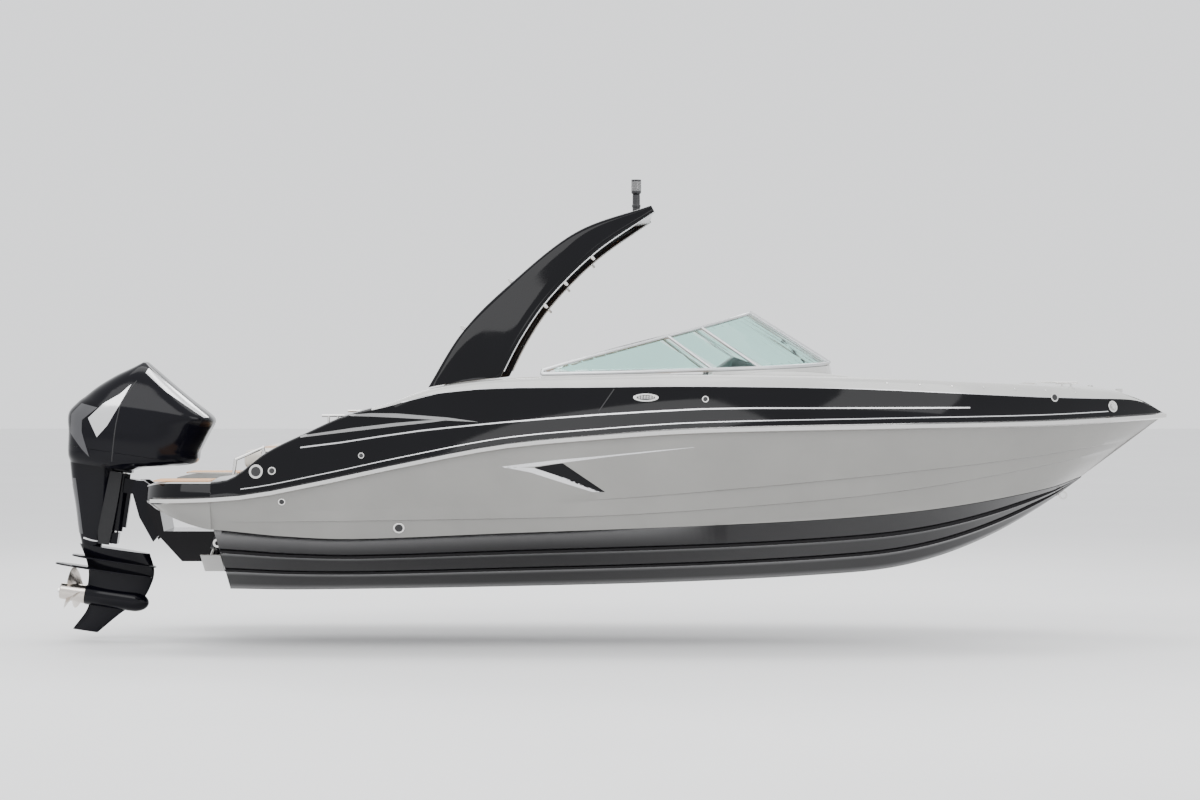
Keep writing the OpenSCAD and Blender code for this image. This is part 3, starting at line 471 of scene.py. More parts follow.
def hull_half(t):
    """Half section from the keel to the rail, with a kind for each strip: 0 bottom, 1 topsides."""
    xb, xm, xr = (lerp(TRANSOM_X, end, t) for end in (CHINE_END, (CHINE_END + STEM_X) / 2, STEM_X))
    kz, cz, cy = curve(KEEL_Z, xb), curve(CHINE_Z, xb), max(curve(CHINE_Y, xb), KEEL_HALF)
    flat = min(0.095, 0.4 * cy) * clamp((1.4 - xb) / 1.2)
    panel, strake = cy - flat, min(0.038, 0.1 * cy)
    half = [((xb, KEEL_HALF, kz), 0)]
    for f in (0.3, 0.62):
        y, z = max(f * panel, KEEL_HALF), lerp(kz, cz - 0.004, f)
        for k in (1, 2, 3):
            half.append(((xb, lerp(half[-1][0][1], y, k / 3), lerp(half[-1][0][2], z, k / 3)), 0))
        half += [((xb, y + strake, z + 0.001), 0),
                 ((xb, y + strake + 0.001, lerp(kz, cz - 0.004, (y + strake) / max(panel, strake + y))), 0)]
    half += [((xb, max(panel, KEEL_HALF), cz - 0.004), 0), ((xb, cy, cz), 0)]
    rail_y, rail_z = max(curve(RAIL_Y, xr), KEEL_HALF), curve(RAIL_Z, xr)
    low = knuckle_share(KNUCKLE_LOW, xm, cz, rail_z)
    high = max(low + 0.05, knuckle_share(KNUCKLE_HIGH, xm, cz, rail_z))
    fade_low = clamp((xm + 1.9) / 0.6)
    fade_high = clamp((xm - 0.2) / 1.2)
    shares = []
    for a, b in ((0, low), (low, high), (high, 1)):
        shares += [(lerp(a, b, k / ROWS), 0.0) for k in range(1, ROWS)]
        if b < 1:
            shares += [(b - 0.004, 0.0), (b + 0.004, 1.0)]
    shares.append((1.0, 0.0))
    for f, _ in shares:
        fair_y = lerp(cy, rail_y, f) + 4 * f * (1 - f) * curve(BULGE, xm)
        step = 0.0
        if f > low:
            step += 0.010 * fade_low * max(0.0, 1 - (f - low) / max(0.02, high - low)) * clamp(cy / 0.3)
        if f > high:
            step += 0.012 * fade_high * max(0.0, 1 - (f - high) / (1 - high)) * clamp(cy / 0.3)
        half.append(((lerp(xb, xr, f), max(KEEL_HALF, fair_y + step), lerp(cz, rail_z, f)), 1))
    return half


def deck_half(t):
    x = lerp(TRANSOM_X, STEM_X, t)
    rail_y, rail_z = max(curve(RAIL_Y, x), KEEL_HALF), curve(RAIL_Z, x)
    cz, lip, y = curve(CAP_Z, x), curve(LIP, x), max(cap_y(x), 0.006)
    rise = cz - lip - rail_z
    half = [(x, rail_y, rail_z + 0.0003)]
    for k in range(1, 7):
        f = k / 6
        half.append((x, max(lerp(rail_y, y, f * (1.55 - 0.55 * f) if f < 1 else 1), 0.007), rail_z + rise * f))
    edge = [(0.0, 0.0), (0.002, 0.12), (0.008, 0.4), (0.014, 0.7), (0.022, 0.88), (0.036, 1.0)]
    half += [(x, max(y - a, 0.005), cz - lip * (1 - b)) for a, b in edge[1:]]
    crown = clamp(y / 0.3)
    half += [(x, max(k * y, 0.003), cz + 0.024 * crown * (1 - k * k)) for k in (0.85, 0.7, 0.5, 0.3, 0.15)]
    half.append((x, 0.002, cz + 0.024 * crown))
    return half


def along(i, steps):
    return 1 - (1 - i / steps) ** 1.25


def skin_of(name, halves, kind_of):
    rings = []
    for half in halves:
        side = [Vector(p) for p in half]
        rings.append([Vector((p.x, -p.y, p.z)) for p in reversed(side)] + side)
    count = len(halves[0])

    def strip(j, i):
        """Strip s lies between the half outline's points s - 1 and s; strip 0 joins the two halves."""
        return kind_of(j, count - 1 - i if i < count else i - count + 1)
    return outward(ring_mesh(name, rings, strip))


def prism(name, outline, low, high, kind):
    count = len(outline)
    points = [(x, y, low) for x, y in outline] + [(x, y, high) for x, y in outline]
    faces = [tuple(range(count - 1, -1, -1)), tuple(range(count, 2 * count))]
    faces += [(i, (i + 1) % count, (i + 1) % count + count, i + count) for i in range(count)]
    return mesh_of(name, points, faces, [kind] * len(faces))


def plan(x0, x1, z, gap=0.0, half_limit=99.0, steps=30):
    side = [(lerp(x0, x1, i / steps), min(room_y(lerp(x0, x1, i / steps), z) - gap, half_limit))
            for i in range(steps + 1)]
    return side + [(x, -y) for x, y in reversed(side)]


def box_plan(x0, x1, y0, y1):
    return [(x0, y0), (x1, y0), (x1, y1), (x0, y1)]


def carved(mesh, cutters, materials):
    """The mesh less the cutters, whose faces keep their own material index."""
    body = bpy.data.objects.new("carve", mesh)
    bpy.context.collection.objects.link(body)
    for material in materials:
        mesh.materials.append(material)
    others = []
    for k, cut in enumerate(cutters):
        other = bpy.data.objects.new("cutter", outward(cut))
        bpy.context.collection.objects.link(other)
        for material in materials:
            cut.materials.append(material)
        modifier = body.modifiers.new("cut%d" % k, "BOOLEAN")
        modifier.operation = "DIFFERENCE"
        modifier.solver = "EXACT"
        modifier.object = other
        others.append(other)
    bpy.context.view_layer.update()
    result = bpy.data.meshes.new_from_object(body.evaluated_get(bpy.context.evaluated_depsgraph_get()))
    for other in others + [body]:
        bpy.data.objects.remove(other)
    return result


def make_hull():
    steps = 150
    rows = [hull_half(along(i, steps)) for i in range(steps + 1)]
    halves = [[p for p, _ in row] for row in rows]
    kinds = [k for _, k in rows[0]]

    def kind(j, s):
        return kinds[min(s, len(kinds) - 1)]
    liner = 2
    cutters = [prism("cut", plan(-1.22, 2.334, 0.042), 0.0417, 0.431, liner),
               prism("cut", plan(-1.22, 2.334, 0.43), 0.43, 2, liner),
               prism("cut", plan(-1.87, -1.219, 0.42), 0.42, 2, liner),
               prism("cut", plan(2.333, 3.5, 0.5), 0.5, 2, liner),
               prism("cut", plan(2.333, 3.24, 0.19, half_limit=0.29), 0.1717, 2, liner),
               prism("cut", box_plan(-2.65, -1.87, -WELL_HALF, WELL_HALF), -0.03, 2, liner)]
    hull = carved(skin_of("hull", halves, kind), cutters, [BOTTOM, PALE, LINER])
    return finish_mesh("hull_skin", "boat", hull, [], 28, replaces=["hull_shell"])


def make_deck():
    steps = 150
    halves = [deck_half(along(i, steps)) for i in range(steps + 1)]

    def kind(j, s):
        x = halves[j][0][0]
        return 1 if s > 6 and -0.98 < x < 4.27 else 0
    cutters = [prism("cut", plan(-1.22, 2.334, 0.43), -0.5, 2, 2),
               prism("cut", plan(-1.87, -1.219, 0.42), 0.1, 2, 2),
               prism("cut", plan(2.333, 3.5, 0.5), -0.5, 2, 2),
               prism("cut", box_plan(-2.65, -1.87, -WELL_HALF, WELL_HALF), -0.5, 2, 2),
               prism("cut", box_plan(3.633, 3.937, -0.157, 0.157), 0.85, 2, 2)]
    deck = carved(skin_of("deck", halves, kind), cutters, [DARK, WHITE, LINER])
    return finish_mesh("deck_skin", "boat", deck, [], 28, replaces=["deck"])


class Skin:
    """Finds points on the boat's side, or on any mesh, along a fixed direction."""

    def __init__(self, *pieces):
        points, faces = [], []
        for piece in pieces:
            base = len(points)
            points += [v.co.copy() for v in piece.data.vertices]
            faces += [[base + i for i in f.vertices] for f in piece.data.polygons]
        self.tree = BVHTree.FromPolygons(points, faces)

    def hit(self, start, direction):
        place, normal, _, _ = self.tree.ray_cast(Vector(start), Vector(direction))
        return place, normal


def sampled(line, count):
    """Points evenly spread along a line of points, by length."""
    parts = [Vector(p) for p in line]
    lengths = [0.0]
    for a, b in zip(parts, parts[1:]):
        lengths.append(lengths[-1] + (b - a).length)
    out = []
    for k in range(count):
        s = lengths[-1] * k / (count - 1)
        i = 0
        while i < len(parts) - 2 and lengths[i + 1] < s:
            i += 1
        w = lengths[i + 1] - lengths[i] or 1.0
        out.append(parts[i].lerp(parts[i + 1], (s - lengths[i]) / w))
    return out


def ribbon(name, skin, upper, lower, material, slot="gelcoat_dark", body="boat", side=-1, place=None,
           along_count=40, across=5, proud=0.0012, deep=0.003):
    """A thin raised patch between two edge lines, each a list of (x, z), laid onto the skin."""
    tops, bottoms = sampled([(x, z, 0) for x, z in upper], along_count), sampled(
        [(x, z, 0) for x, z in lower], along_count)
    rings = []
    for a, b in zip(tops, bottoms):
        outer, inner = [], []
        for k in range(across):
            p = a.lerp(b, k / (across - 1))
            start, direction = (place(p.x, p.y) if place
                                else (Vector((p.x, side * 3, p.y)), Vector((0, -side, 0))))
            spot, normal = skin.hit(start, direction)
            if spot is None:
                break
            if normal.dot(direction) > 0:
                normal = -normal
            outer.append(spot + normal * proud)
            inner.append(spot - normal * deep)
        if len(outer) == across:
            rings.append(outer + inner[::-1])
    if len(rings) < 2:
        return None
    return lofted(name, body, rings, [material], 50)


def both_sides(name, skin, upper, lower, material, **more):
    for side, tag in SIDES:
        ribbon("%s_%s" % (name, tag), skin, upper, lower, material, side=side, **more)


def stripe(name, skin, line, half, material, **more):
    both_sides(name, skin, [(x, z + half) for x, z in line], [(x, z - half) for x, z in line], material, **more)


def dress_sides(skin):
    both_sides("flash_upper", skin, [(-0.09, 0.44), (0.29, 0.485), (0.55, 0.508), (0.88, 0.541), (1.165, 0.566)],
               [(-0.07, 0.43), (0.12, 0.44), (0.30, 0.464), (0.62, 0.505), (1.165, 0.564)], SILVER, across=4)
    both_sides("flash_lower", skin, [(-0.09, 0.44), (0.11, 0.432), (0.33, 0.36), (0.55, 0.272)],
               [(-0.09, 0.438), (0.10, 0.40), (0.29, 0.338), (0.50, 0.272)], SILVER, across=4)
    both_sides("flash_wedge", skin, [(0.125, 0.434), (0.20, 0.446), (0.305, 0.462), (0.583, 0.272)],
               [(0.125, 0.430), (0.25, 0.388), (0.40, 0.325), (0.54, 0.272)], DARK, across=5)
    # The silver line along the black deck side is painted highlight: it stands for the light caught on a crease in the
    # deck side, which the deck mesh here does not have.
    stripe("painted_crease_highlight", skin, [(-1.41, 0.563), (-1.15, 0.595), (-0.89, 0.635), (-0.63, 0.672), (-0.43, 0.694),
                               (-0.1, 0.726), (0.22, 0.753), (0.55, 0.778), (0.88, 0.798), (1.2, 0.814),
                               (1.53, 0.82), (3.0, 0.82)], 0.0045, SILVER, across=2, along_count=120)
    low = [(x / 10, curve(RAIL_Z, x / 10) + 0.055) for x in range(-18, 41)]
    stripe("lower_stripe", skin, low, 0.003, SILVER, across=2, along_count=120)
    both_sides("quarter_upper", skin, [(-1.12, 0.775), (-0.95, 0.787), (-0.78, 0.785), (-0.44, 0.757), (-0.25, 0.73)],
               [(-1.12, 0.770), (-0.95, 0.765), (-0.78, 0.757), (-0.44, 0.738), (-0.25, 0.729)], MOULDING,
               across=5, proud=0.006)
    both_sides("quarter_lower", skin, [(-1.41, 0.640), (-1.07, 0.690), (-0.80, 0.722), (-0.55, 0.742), (-0.42, 0.748)],
               [(-1.41, 0.628), (-1.07, 0.668), (-0.80, 0.700), (-0.55, 0.727), (-0.42, 0.745)], MOULDING,
               across=5, proud=0.006)
    both_sides("panel_seam", skin, [(0.640, 0.948), (0.538, 0.800)], [(0.646, 0.944), (0.544, 0.797)], RUBBER,
               across=2, proud=0.0006)
    both_sides("cap_seam", skin, [(x / 4, curve(CAP_Z, x / 4) - curve(LIP, x / 4) + 0.004) for x in range(-3, 17)],
               [(x / 4, curve(CAP_Z, x / 4) - curve(LIP, x / 4) - 0.001) for x in range(-3, 17)], SILVER,
               across=2, along_count=120, proud=0.0015)


def fitting(name, skin, x, z, build, body="boat", sides=(-1, 1), stands_for=()):
    """A small fitting on each side: build(bm) draws it about the origin, facing +Z, and it is turned to the skin."""
    for side in sides:
        spot, normal = skin.hit((x, side * 3, z), (0, -side, 0))
        if spot is None:
            continue
        if normal.y * side < 0:
            normal = -normal
        bm = bmesh.new()
        materials = build(bm)
        ahead = Vector((1, 0, 0))
        ahead = (ahead - ahead.dot(normal) * normal).normalized()
        up = normal.cross(ahead)
        turn = Matrix((ahead, up, normal)).transposed().to_4x4()
        bmesh.ops.transform(bm, matrix=Matrix.Translation(spot) @ turn, verts=bm.verts)
        bevelled("%s_%s" % (name, "starboard" if side < 0 else "port"), bm, body, materials, 0.0012,
                 replaces=stands_for)


def through_hull(radius):
    def build(bm):
        disc(bm, (0, 0, 0.002), (0, 0, 1), radius, 0.008, 0)
        disc(bm, (0, 0, 0.005), (0, 0, 1), radius * 0.7, 0.006, 1)
        return [STEEL, RUBBER]
    return build


def oval_vent(bm):
    made = disc(bm, (0, 0, 0.003), (0, 0, 1), 0.027, 0.010, 0, 40)
    for v in made:
        v.co.x *= 3.1
    made = disc(bm, (0, 0, 0.008), (0, 0, 1), 0.017, 0.006, 1, 40)
    for v in made:
        v.co.x *= 3.6
    for k in range(-5, 6):
        block(bm, (k * 0.010 - 0.002, -0.012, 0.008), (k * 0.010 + 0.002, 0.012, 0.014), 0)
    return [STEEL, RUBBER]


def nav_light(bm):
    disc(bm, (0, 0, 0.004), (0, 0, 1), 0.04, 0.012, 0, 32)
    disc(bm, (0, 0, 0.014), (0, 0, 1), 0.032, 0.016, 1, 32, top=0.02)
    return [STEEL, LENS]


def snap(bm):
    disc(bm, (0, 0, 0.002), (0, 0, 1), 0.008, 0.006, 0, 16, top=0.005)
    return [STEEL]


def dress_fittings(skin):
    fitting("side_vent", skin, 0.85, 0.888, oval_vent, stands_for=["side_fittings"])
    fitting("round_side", skin, 1.24, 0.878, through_hull(0.022))
    fitting("quarter_round", skin, -1.01, 0.51, through_hull(0.02))
    fitting("fuel_fill", skin, -1.70, 0.405, through_hull(0.046), sides=(-1,))
    fitting("rear_round", skin, -1.595, 0.41, through_hull(0.026), sides=(-1,))
    fitting("drain_high", skin, -1.53, 0.21, through_hull(0.024))
    fitting("drain_low", skin, -0.77, 0.035, through_hull(0.038))
    fitting("bow_light", skin, 4.03, 0.82, nav_light)
    fitting("bow_mark", skin, 3.60, 0.885, through_hull(0.03))
    fitting("quarter_dome", skin, -1.10, 0.80, nav_light)
    for k, x in enumerate([2.44, 2.66, 2.88, 3.1, 3.32, 3.54, 3.76]):
        fitting("cap_snap_%d" % k, skin, x, curve(CAP_Z, x) - 0.03, snap)
    for k, x in enumerate([-1.9 + 0.34 * k for k in range(19)]):
        fitting("rail_screw_%d" % k, skin, min(x, 4.1), curve(RAIL_Z, min(x, 4.1)), snap)


# ---- Carried-over CAD nodes ----

def paint(name, material, edge=0.0):
    piece = NODES[name]
    if not piece.material_slots:
        piece.data.materials.append(material)
    for place in piece.material_slots:
        place.material = material
    if edge:
        add = piece.modifiers.new("edge", "BEVEL")
        add.width = edge
        add.segments = 3
        add.limit_method = "ANGLE"
        add.angle_limit = math.radians(35)
        add.harden_normals = True


def paint_nodes():
    looks = {
        "rub_rail": (STEEL, 0), "cockpit_sole": (DECKING, 0.002), "platform_mats": (MAT, 0.002),
        "engine_pod": (BOTTOM, 0.008), "windshield_base": (WHITE, 0.002),
        "windshield_frame": (ALLOY, 0), "side_glass": (GLASS, 0), "front_glass": (GLASS, 0),
        "walkthrough_door": (WHITE, 0.006), "arch_light": (PLASTIC, 0.003),
        "helm_console": (LINER, 0.01), "port_console": (LINER, 0.01), "dash_hood": (PLASTIC, 0),
        "throttle": (ALLOY, 0.003), "steering_wheel": (RUBBER, 0), "seat_pedestals": (ALLOY, 0.003),
        "anchor_locker_lid": (WHITE, 0.003), "deck_hardware": (STEEL, 0),
        "bow_eye": (STEEL, 0), "stern_eyes": (STEEL, 0), "grab_rails": (STEEL, 0),
        "trim_tab_port": (STEEL, 0.001), "trim_tab_starboard": (STEEL, 0.001),
        "tab_barrel_port": (PLASTIC, 0.002), "tab_barrel_starboard": (PLASTIC, 0.002),
        "tab_rod_port": (STEEL, 0.001), "tab_rod_starboard": (STEEL, 0.001),
        "clamp_bracket": (ENGINE, 0.005), "swivel_bracket": (ENGINE, 0.005), "powerhead": (IRON, 0.01),
    }
    for name, (material, edge) in looks.items():
        if name in NODES:
            paint(name, material, edge)


# ---- Swim platform and arch ----

PLATFORM_Z = 0.336


def make_platform():
    for side, tag in SIDES:
        rings = []
        steps = 36
        for i in range(steps + 1):
            g = i / steps
            x = lerp(TRANSOM_X - 0.0003, PLATFORM_AFT, g)
            y = curve(RAIL_Y, x) - 0.180 * g**5
            low, top = curve(CHINE_Z, x) + 0.150 * g**1.5, PLATFORM_Z - 0.030 * g**6
            rail = curve(RAIL_Z, x)
            half = [(WELL_HALF, low), (WELL_HALF, top), (y - 0.10, top), (y - 0.058, top), (y - 0.047, top - 0.002),
                    (y - 0.040, top - 0.010)]
            half += [(lerp(y - 0.040, y, f * (1.4 - 0.4 * f)), lerp(top - 0.010, rail, f))
                     for f in (0.25, 0.5, 0.75, 1.0)]
            half += [(lerp(y, y - 0.070, f * f), lerp(rail, low, f)) for f in (0.25, 0.5, 0.75, 1.0)]
            rings.append([Vector((x, side * a, z)) for a, z in half])

        def kind(j, i):
            return 2 if i < 5 else (0 if i < 9 else 1)
        mesh = outward(ring_mesh("platform_" + tag, rings, kind))
        finish_mesh("platform_" + tag, "boat", mesh, [DARK, PALE, WHITE], 28,
                    replaces=["swim_platform"] if side < 0 else ())


ARCH_AFT_X = fair([(0, -580), (250, -360), (500, -60), (750, 390), (1000, 890)])
ARCH_AFT_Z = fair([(0, 955), (250, 1315), (500, 1625), (750, 1985), (1000, 2168)])
ARCH_FORE_X = fair([(0, -112), (250, 35), (500, 225), (750, 530), (1000, 912)])
ARCH_FORE_Z = fair([(0, 1005), (250, 1290), (500, 1560), (750, 1860), (1000, 2126)])


def arch_y(g):
    return lerp(cap_y(-0.35) - 0.070, 0.760, g**1.3)


def arch_spot(xs, zs, g, side):
    return Vector((curve(xs, g), side * arch_y(g), curve(zs, g)))


def arch_ring(g, side):
    """A rounded blade section of the arch's leg at a share g of its height."""
    a = Vector((curve(ARCH_AFT_X, g), 0, curve(ARCH_AFT_Z, g)))
    f = Vector((curve(ARCH_FORE_X, g), 0, curve(ARCH_FORE_Z, g)))
    y = arch_y(g)
    h = lerp(0.080, 0.044, g) / 2
    ring = []
    for k in range(40):
        c, s = math.cos(2 * math.pi * k / 40), math.sin(2 * math.pi * k / 40)
        share = 0.5 + 0.5 * math.copysign(abs(c) ** 0.55, c)
        thick = h * math.copysign(abs(s) ** 0.75, s)
        spot = a.lerp(f, share)
        ring.append(Vector((spot.x, side * (y + thick), spot.z)))
    return ring


def make_arch():
    for side, tag in SIDES:
        rings = [arch_ring(i / 60, side) for i in range(61)]
        foot = 0.012
        rings = [[Vector((p.x, p.y, max(p.z, curve(CAP_Z, p.x) + foot))) for p in ring] for ring in rings]
        lofted("arch_leg_" + tag, "boat", rings, [DARK], 50,
               replaces=["sport_arch"] if side < 0 else ())
        edge = [arch_ring(i / 40, side)[0] + Vector((0.001, 0, -0.001)) for i in range(2, 41)]
        bar("arch_trim_" + tag, edge, 0.006, "boat", ALLOY, sides=10)
        for k, g in enumerate((0.27, 0.52)):
            spot = arch_spot(ARCH_AFT_X, ARCH_AFT_Z, g, side)
            bm = bmesh.new()
            disc(bm, spot + Vector((-0.010, 0, 0.006)), (-0.8, 0, 0.6), 0.014, 0.016, 0, 20)
            block(bm, spot + Vector((-0.030, -0.012, 0.006)), spot + Vector((-0.014, 0.012, 0.022)))
            bevelled("arch_clip_%s_%d" % (tag, k), bm, "boat", [STEEL], 0.002)
        for k, g in enumerate((0.45, 0.58, 0.72)):
            spot = arch_spot(ARCH_FORE_X, ARCH_FORE_Z, g, side)
            bm = bmesh.new()
            disc(bm, spot + Vector((0.008, 0, -0.008)), (0.7, 0, -0.7), 0.012, 0.02, 0, 20)
            disc(bm, spot + Vector((0.018, 0, -0.018)), (0, 1, 0), 0.010, 0.016, 0, 20)
            bevelled("arch_eye_%s_%d" % (tag, k), bm, "boat", [STEEL], 0.002)
    # The wing between the legs, from the same edges
    rings = []
    end = 0.765
    for k in range(41):
        y = lerp(-end, end, k / 40)
        crown = 0.012 * (1 - (y / end) ** 2)
        a, f = (Vector((curve(ARCH_AFT_X, g), 0, curve(ARCH_AFT_Z, g))) for g in (0.80, 1.0))
        outline = [(a.x, a.z - 0.008), (lerp(a.x, f.x, 0.33), curve(ARCH_AFT_Z, 0.87)),
                   (lerp(a.x, f.x, 0.67), curve(ARCH_AFT_Z, 0.935)), (f.x, f.z), (f.x + 0.014, f.z - 0.018),
                   (f.x + 0.016, f.z - 0.040), (f.x - 0.150, f.z - 0.105), (a.x + 0.060, a.z - 0.095),
                   (a.x + 0.015, a.z - 0.050), (a.x + 0.002, a.z - 0.025)]
        rings.append([Vector((x, y, z - 0.012 + crown)) for x, z in outline])
    lofted("arch_wing", "boat", rings, [DARK], 30)


# ---- Outboard ----

TILT = Vector((-2.617, 0, 0.269))
TRIM = math.radians(8.5)


def leg(u, v, w):
    """A point from the outboard's own frame: u forward, v to port, w up the leg."""
    c, s = math.cos(TRIM), math.sin(TRIM)
    return Vector((TILT.x + u * c + w * s, v, TILT.z - u * s + w * c))


def super_oval(u0, u1, half, w, power, count=72):
    ring = []
    for k in range(count):
        c, s = math.cos(2 * math.pi * k / count), math.sin(2 * math.pi * k / count)
        u = (u1 - u0) / 2 * math.copysign(abs(c) ** power, c) + (u0 + u1) / 2
        ring.append(leg(u, half * math.copysign(abs(s) ** power, s), w))
    return ring


COWL = [(0.1003, -0.500, -0.060, 0.216), (0.135, -0.515, 0.020, 0.252), (0.170, -0.524, 0.200, 0.276),
        (0.212, -0.530, 0.346, 0.288), (0.300, -0.539, 0.368, 0.300), (0.430, -0.557, 0.412, 0.300),
        (0.520, -0.500, 0.440, 0.294), (0.560, -0.460, 0.405, 0.282), (0.640, -0.384, 0.262, 0.252),
        (0.735, -0.269, 0.106, 0.204), (0.807, -0.162, -0.006, 0.144), (0.845, -0.110, -0.066, 0.084),
        (0.853, -0.098, -0.080, 0.060)]


COWL_FOOT = COWL[0][0]


def cowl_rings(low, high, steps):
    rings = []
    for k in range(steps + 1):
        w = lerp(low, high, k / steps)
        u0, u1, half = (curve([(row[0], row[c]) for row in COWL], w) for c in (1, 2, 3))
        rings.append(super_oval(u0, u1, half, w, 0.62))
    return rings


def make_cowls():
    lower = lofted("cowl_lower", "motor", cowl_rings(COWL_FOOT, 0.2110, 16), [ENGINE], 40,
                   replaces=["lower_cowl"])
    top = lofted("cowl_top", "motor", cowl_rings(0.2135, 0.853, 70), [ENGINE], 40,
                 replaces=["top_cowl", "powerhead"])
    skin = Skin(lower, top)
    for side, tag in SIDES:
        more = dict(slot="engine_black", body="motor", place=beside(side))
        ribbon("cowl_strip_" + tag, skin, [(-0.05, 0.815), (0.12, 0.715), (0.41, 0.542)],
               [(-0.06, 0.78), (0.10, 0.675), (0.385, 0.535)], SILVER, along_count=40, across=6, **more)
        ribbon("cowl_flash_" + tag, skin, [(-0.14, 0.69), (-0.20, 0.615), (-0.30, 0.535), (-0.39, 0.42)],
               [(-0.14, 0.685), (-0.19, 0.54), (-0.25, 0.39), (-0.31, 0.30)], SILVER, along_count=30, across=6, **more)
        ribbon("cowl_rear_" + tag, skin, [(-0.335, 0.50), (-0.43, 0.40), (-0.42, 0.32), (-0.345, 0.16)],
               [(-0.455, 0.51), (-0.515, 0.43), (-0.505, 0.30), (-0.40, 0.20)], ENGINE_GREY, along_count=30, across=6,
               proud=0.004, **more)
        ribbon("cowl_crease_" + tag, skin, [(-0.105, 0.72), (-0.18, 0.56), (-0.19, 0.40), (-0.185, 0.15)],
               [(-0.11, 0.72), (-0.187, 0.56), (-0.197, 0.40), (-0.192, 0.15)], RUBBER, along_count=40, across=2,
               proud=0.0008, **more)
    return skin


def resampled(rows, steps):
    """Fair values between rows sorted by their first number."""
    rows = sorted(rows)
    out = []
    for k in range(steps + 1):
        w = lerp(rows[0][0], rows[-1][0], k / steps)
        out.append((w, *(curve([(row[0], row[c]) for row in rows], w) for c in range(1, len(rows[0])))))
    return out


SHAFT_W = -0.795


def turned(profile, sides):
    """Rings round the propeller shaft's line for a profile of (place along it, radius)."""
    angles = [2 * math.pi * k / sides for k in range(sides)]
    return [[leg(u, r * math.cos(a), SHAFT_W + r * math.sin(a)) for a in angles] for u, r in profile]


def beside(side):
    """Where a ribbon's (u, w) on the tilted engine is looked for, and in which direction."""
    return lambda u, w: (leg(u, side, w), Vector((0, -side, 0)))


def make_leg():
    rows = [(-0.452, -0.344, -0.210, 0.070), (-0.380, -0.370, -0.196, 0.090), (-0.194, -0.421, -0.192, 0.118),
            (-0.040, -0.470, -0.190, 0.140), (0.0995, -0.505, -0.188, 0.160)]
    rings = [super_oval(u0, u1, half, w, 0.7, 64) for w, u0, u1, half in resampled(rows, 40)]
    middle = lofted("leg_shell", "motor", rings, [ENGINE], 40, replaces=["midsection"])
    bar("kingpin", [leg(-0.13, 0, -0.40), leg(-0.13, 0, 0.10)], 0.024, "motor", STEEL, sides=32)
    bm = bmesh.new()
    for low, high in (((-0.196, -0.05, -0.42), (-0.10, 0.05, -0.34)), ((-0.196, -0.06, 0.078), (-0.07, 0.06, 0.0995))):
        for v in block(bm, low, high):
            v.co = leg(*v.co)
    bevelled("leg_yokes", bm, "motor", [ENGINE], 0.006)
    skin = Skin(middle)
    for side, tag in SIDES:
        ribbon("leg_spine_" + tag, skin, [(-0.463, 0.09), (-0.425, -0.04), (-0.385, -0.19), (-0.335, -0.38)],
               [(-0.505, 0.09), (-0.47, -0.04), (-0.42, -0.19), (-0.368, -0.38)], ENGINE_GREY, slot="engine_black",
               body="motor", place=beside(side), along_count=40, across=4, proud=0.003)
        ribbon("leg_seam_" + tag, skin, [(-0.33, -0.40), (-0.27, -0.41), (-0.215, -0.412)],
               [(-0.33, -0.412), (-0.27, -0.42), (-0.215, -0.42)], SILVER, slot="engine_black", body="motor",
               place=beside(side), along_count=20, across=3, proud=0.002)
    for side, tag in SIDES:
        rings = []
        for i in range(25):
            w = lerp(0.075, -0.43, i / 24)
            aft, fore = lerp(-0.30, -0.225, i / 24), lerp(-0.128, -0.150, (i / 24) ** 2)
            thick, y = 0.018, 0.104 - 0.020 * (i / 24) ** 2
            rings.append([leg(lerp(aft, fore, k / 8), side * (y + 0.006 * math.sin(math.pi * k / 8)), w)
                          for k in range(9)]
                         + [leg(lerp(aft, fore, k / 8), side * (y - thick), w) for k in range(8, -1, -1)])
        lofted("leg_panel_" + tag, "motor", rings, [ENGINE_PANEL], 40)
    rows = [(-1.045, -0.322, -0.150, 0.007), (-0.880, -0.240, 0.0, 0.016), (-0.780, -0.262, 0.120, 0.034),
            (-0.650, -0.270, 0.172, 0.044), (-0.560, -0.300, 0.175, 0.060), (-0.453, -0.361, 0.129, 0.092)]
    rings = [super_oval(u0, u1, half, w, 1.0, 56) for w, u0, u1, half in resampled(rows, 50)]
    lofted("gear_leg", "motor", rings, [ENGINE], 40, replaces=["gearcase"])
    bullet = [(-0.27, 0.064), (-0.262, 0.070), (0.06, 0.070)]
    bullet += [(0.06 + 0.112 * math.sin(math.radians(a)), 0.070 * math.cos(math.radians(a))) for a in range(8, 90, 8)]
    bullet += [(0.172, 0.004)]
    lofted("gear_torpedo", "motor", turned(bullet, 48), [ENGINE], 40)
    for name, w, u0, u1, half in (("cavitation_plate", -0.618, -0.505, 0.170, 0.105),
                                  ("splash_plate", -0.545, -0.40, 0.185, 0.11)):
        rings = [super_oval(u0 + e, u1 - e, half - e, w + h, 0.75, 64)
                 for h, e in ((0.0, 0.006), (0.002, 0.0), (0.010, 0.0), (0.013, 0.006))]
        lofted(name, "motor", rings, [ENGINE], 50)


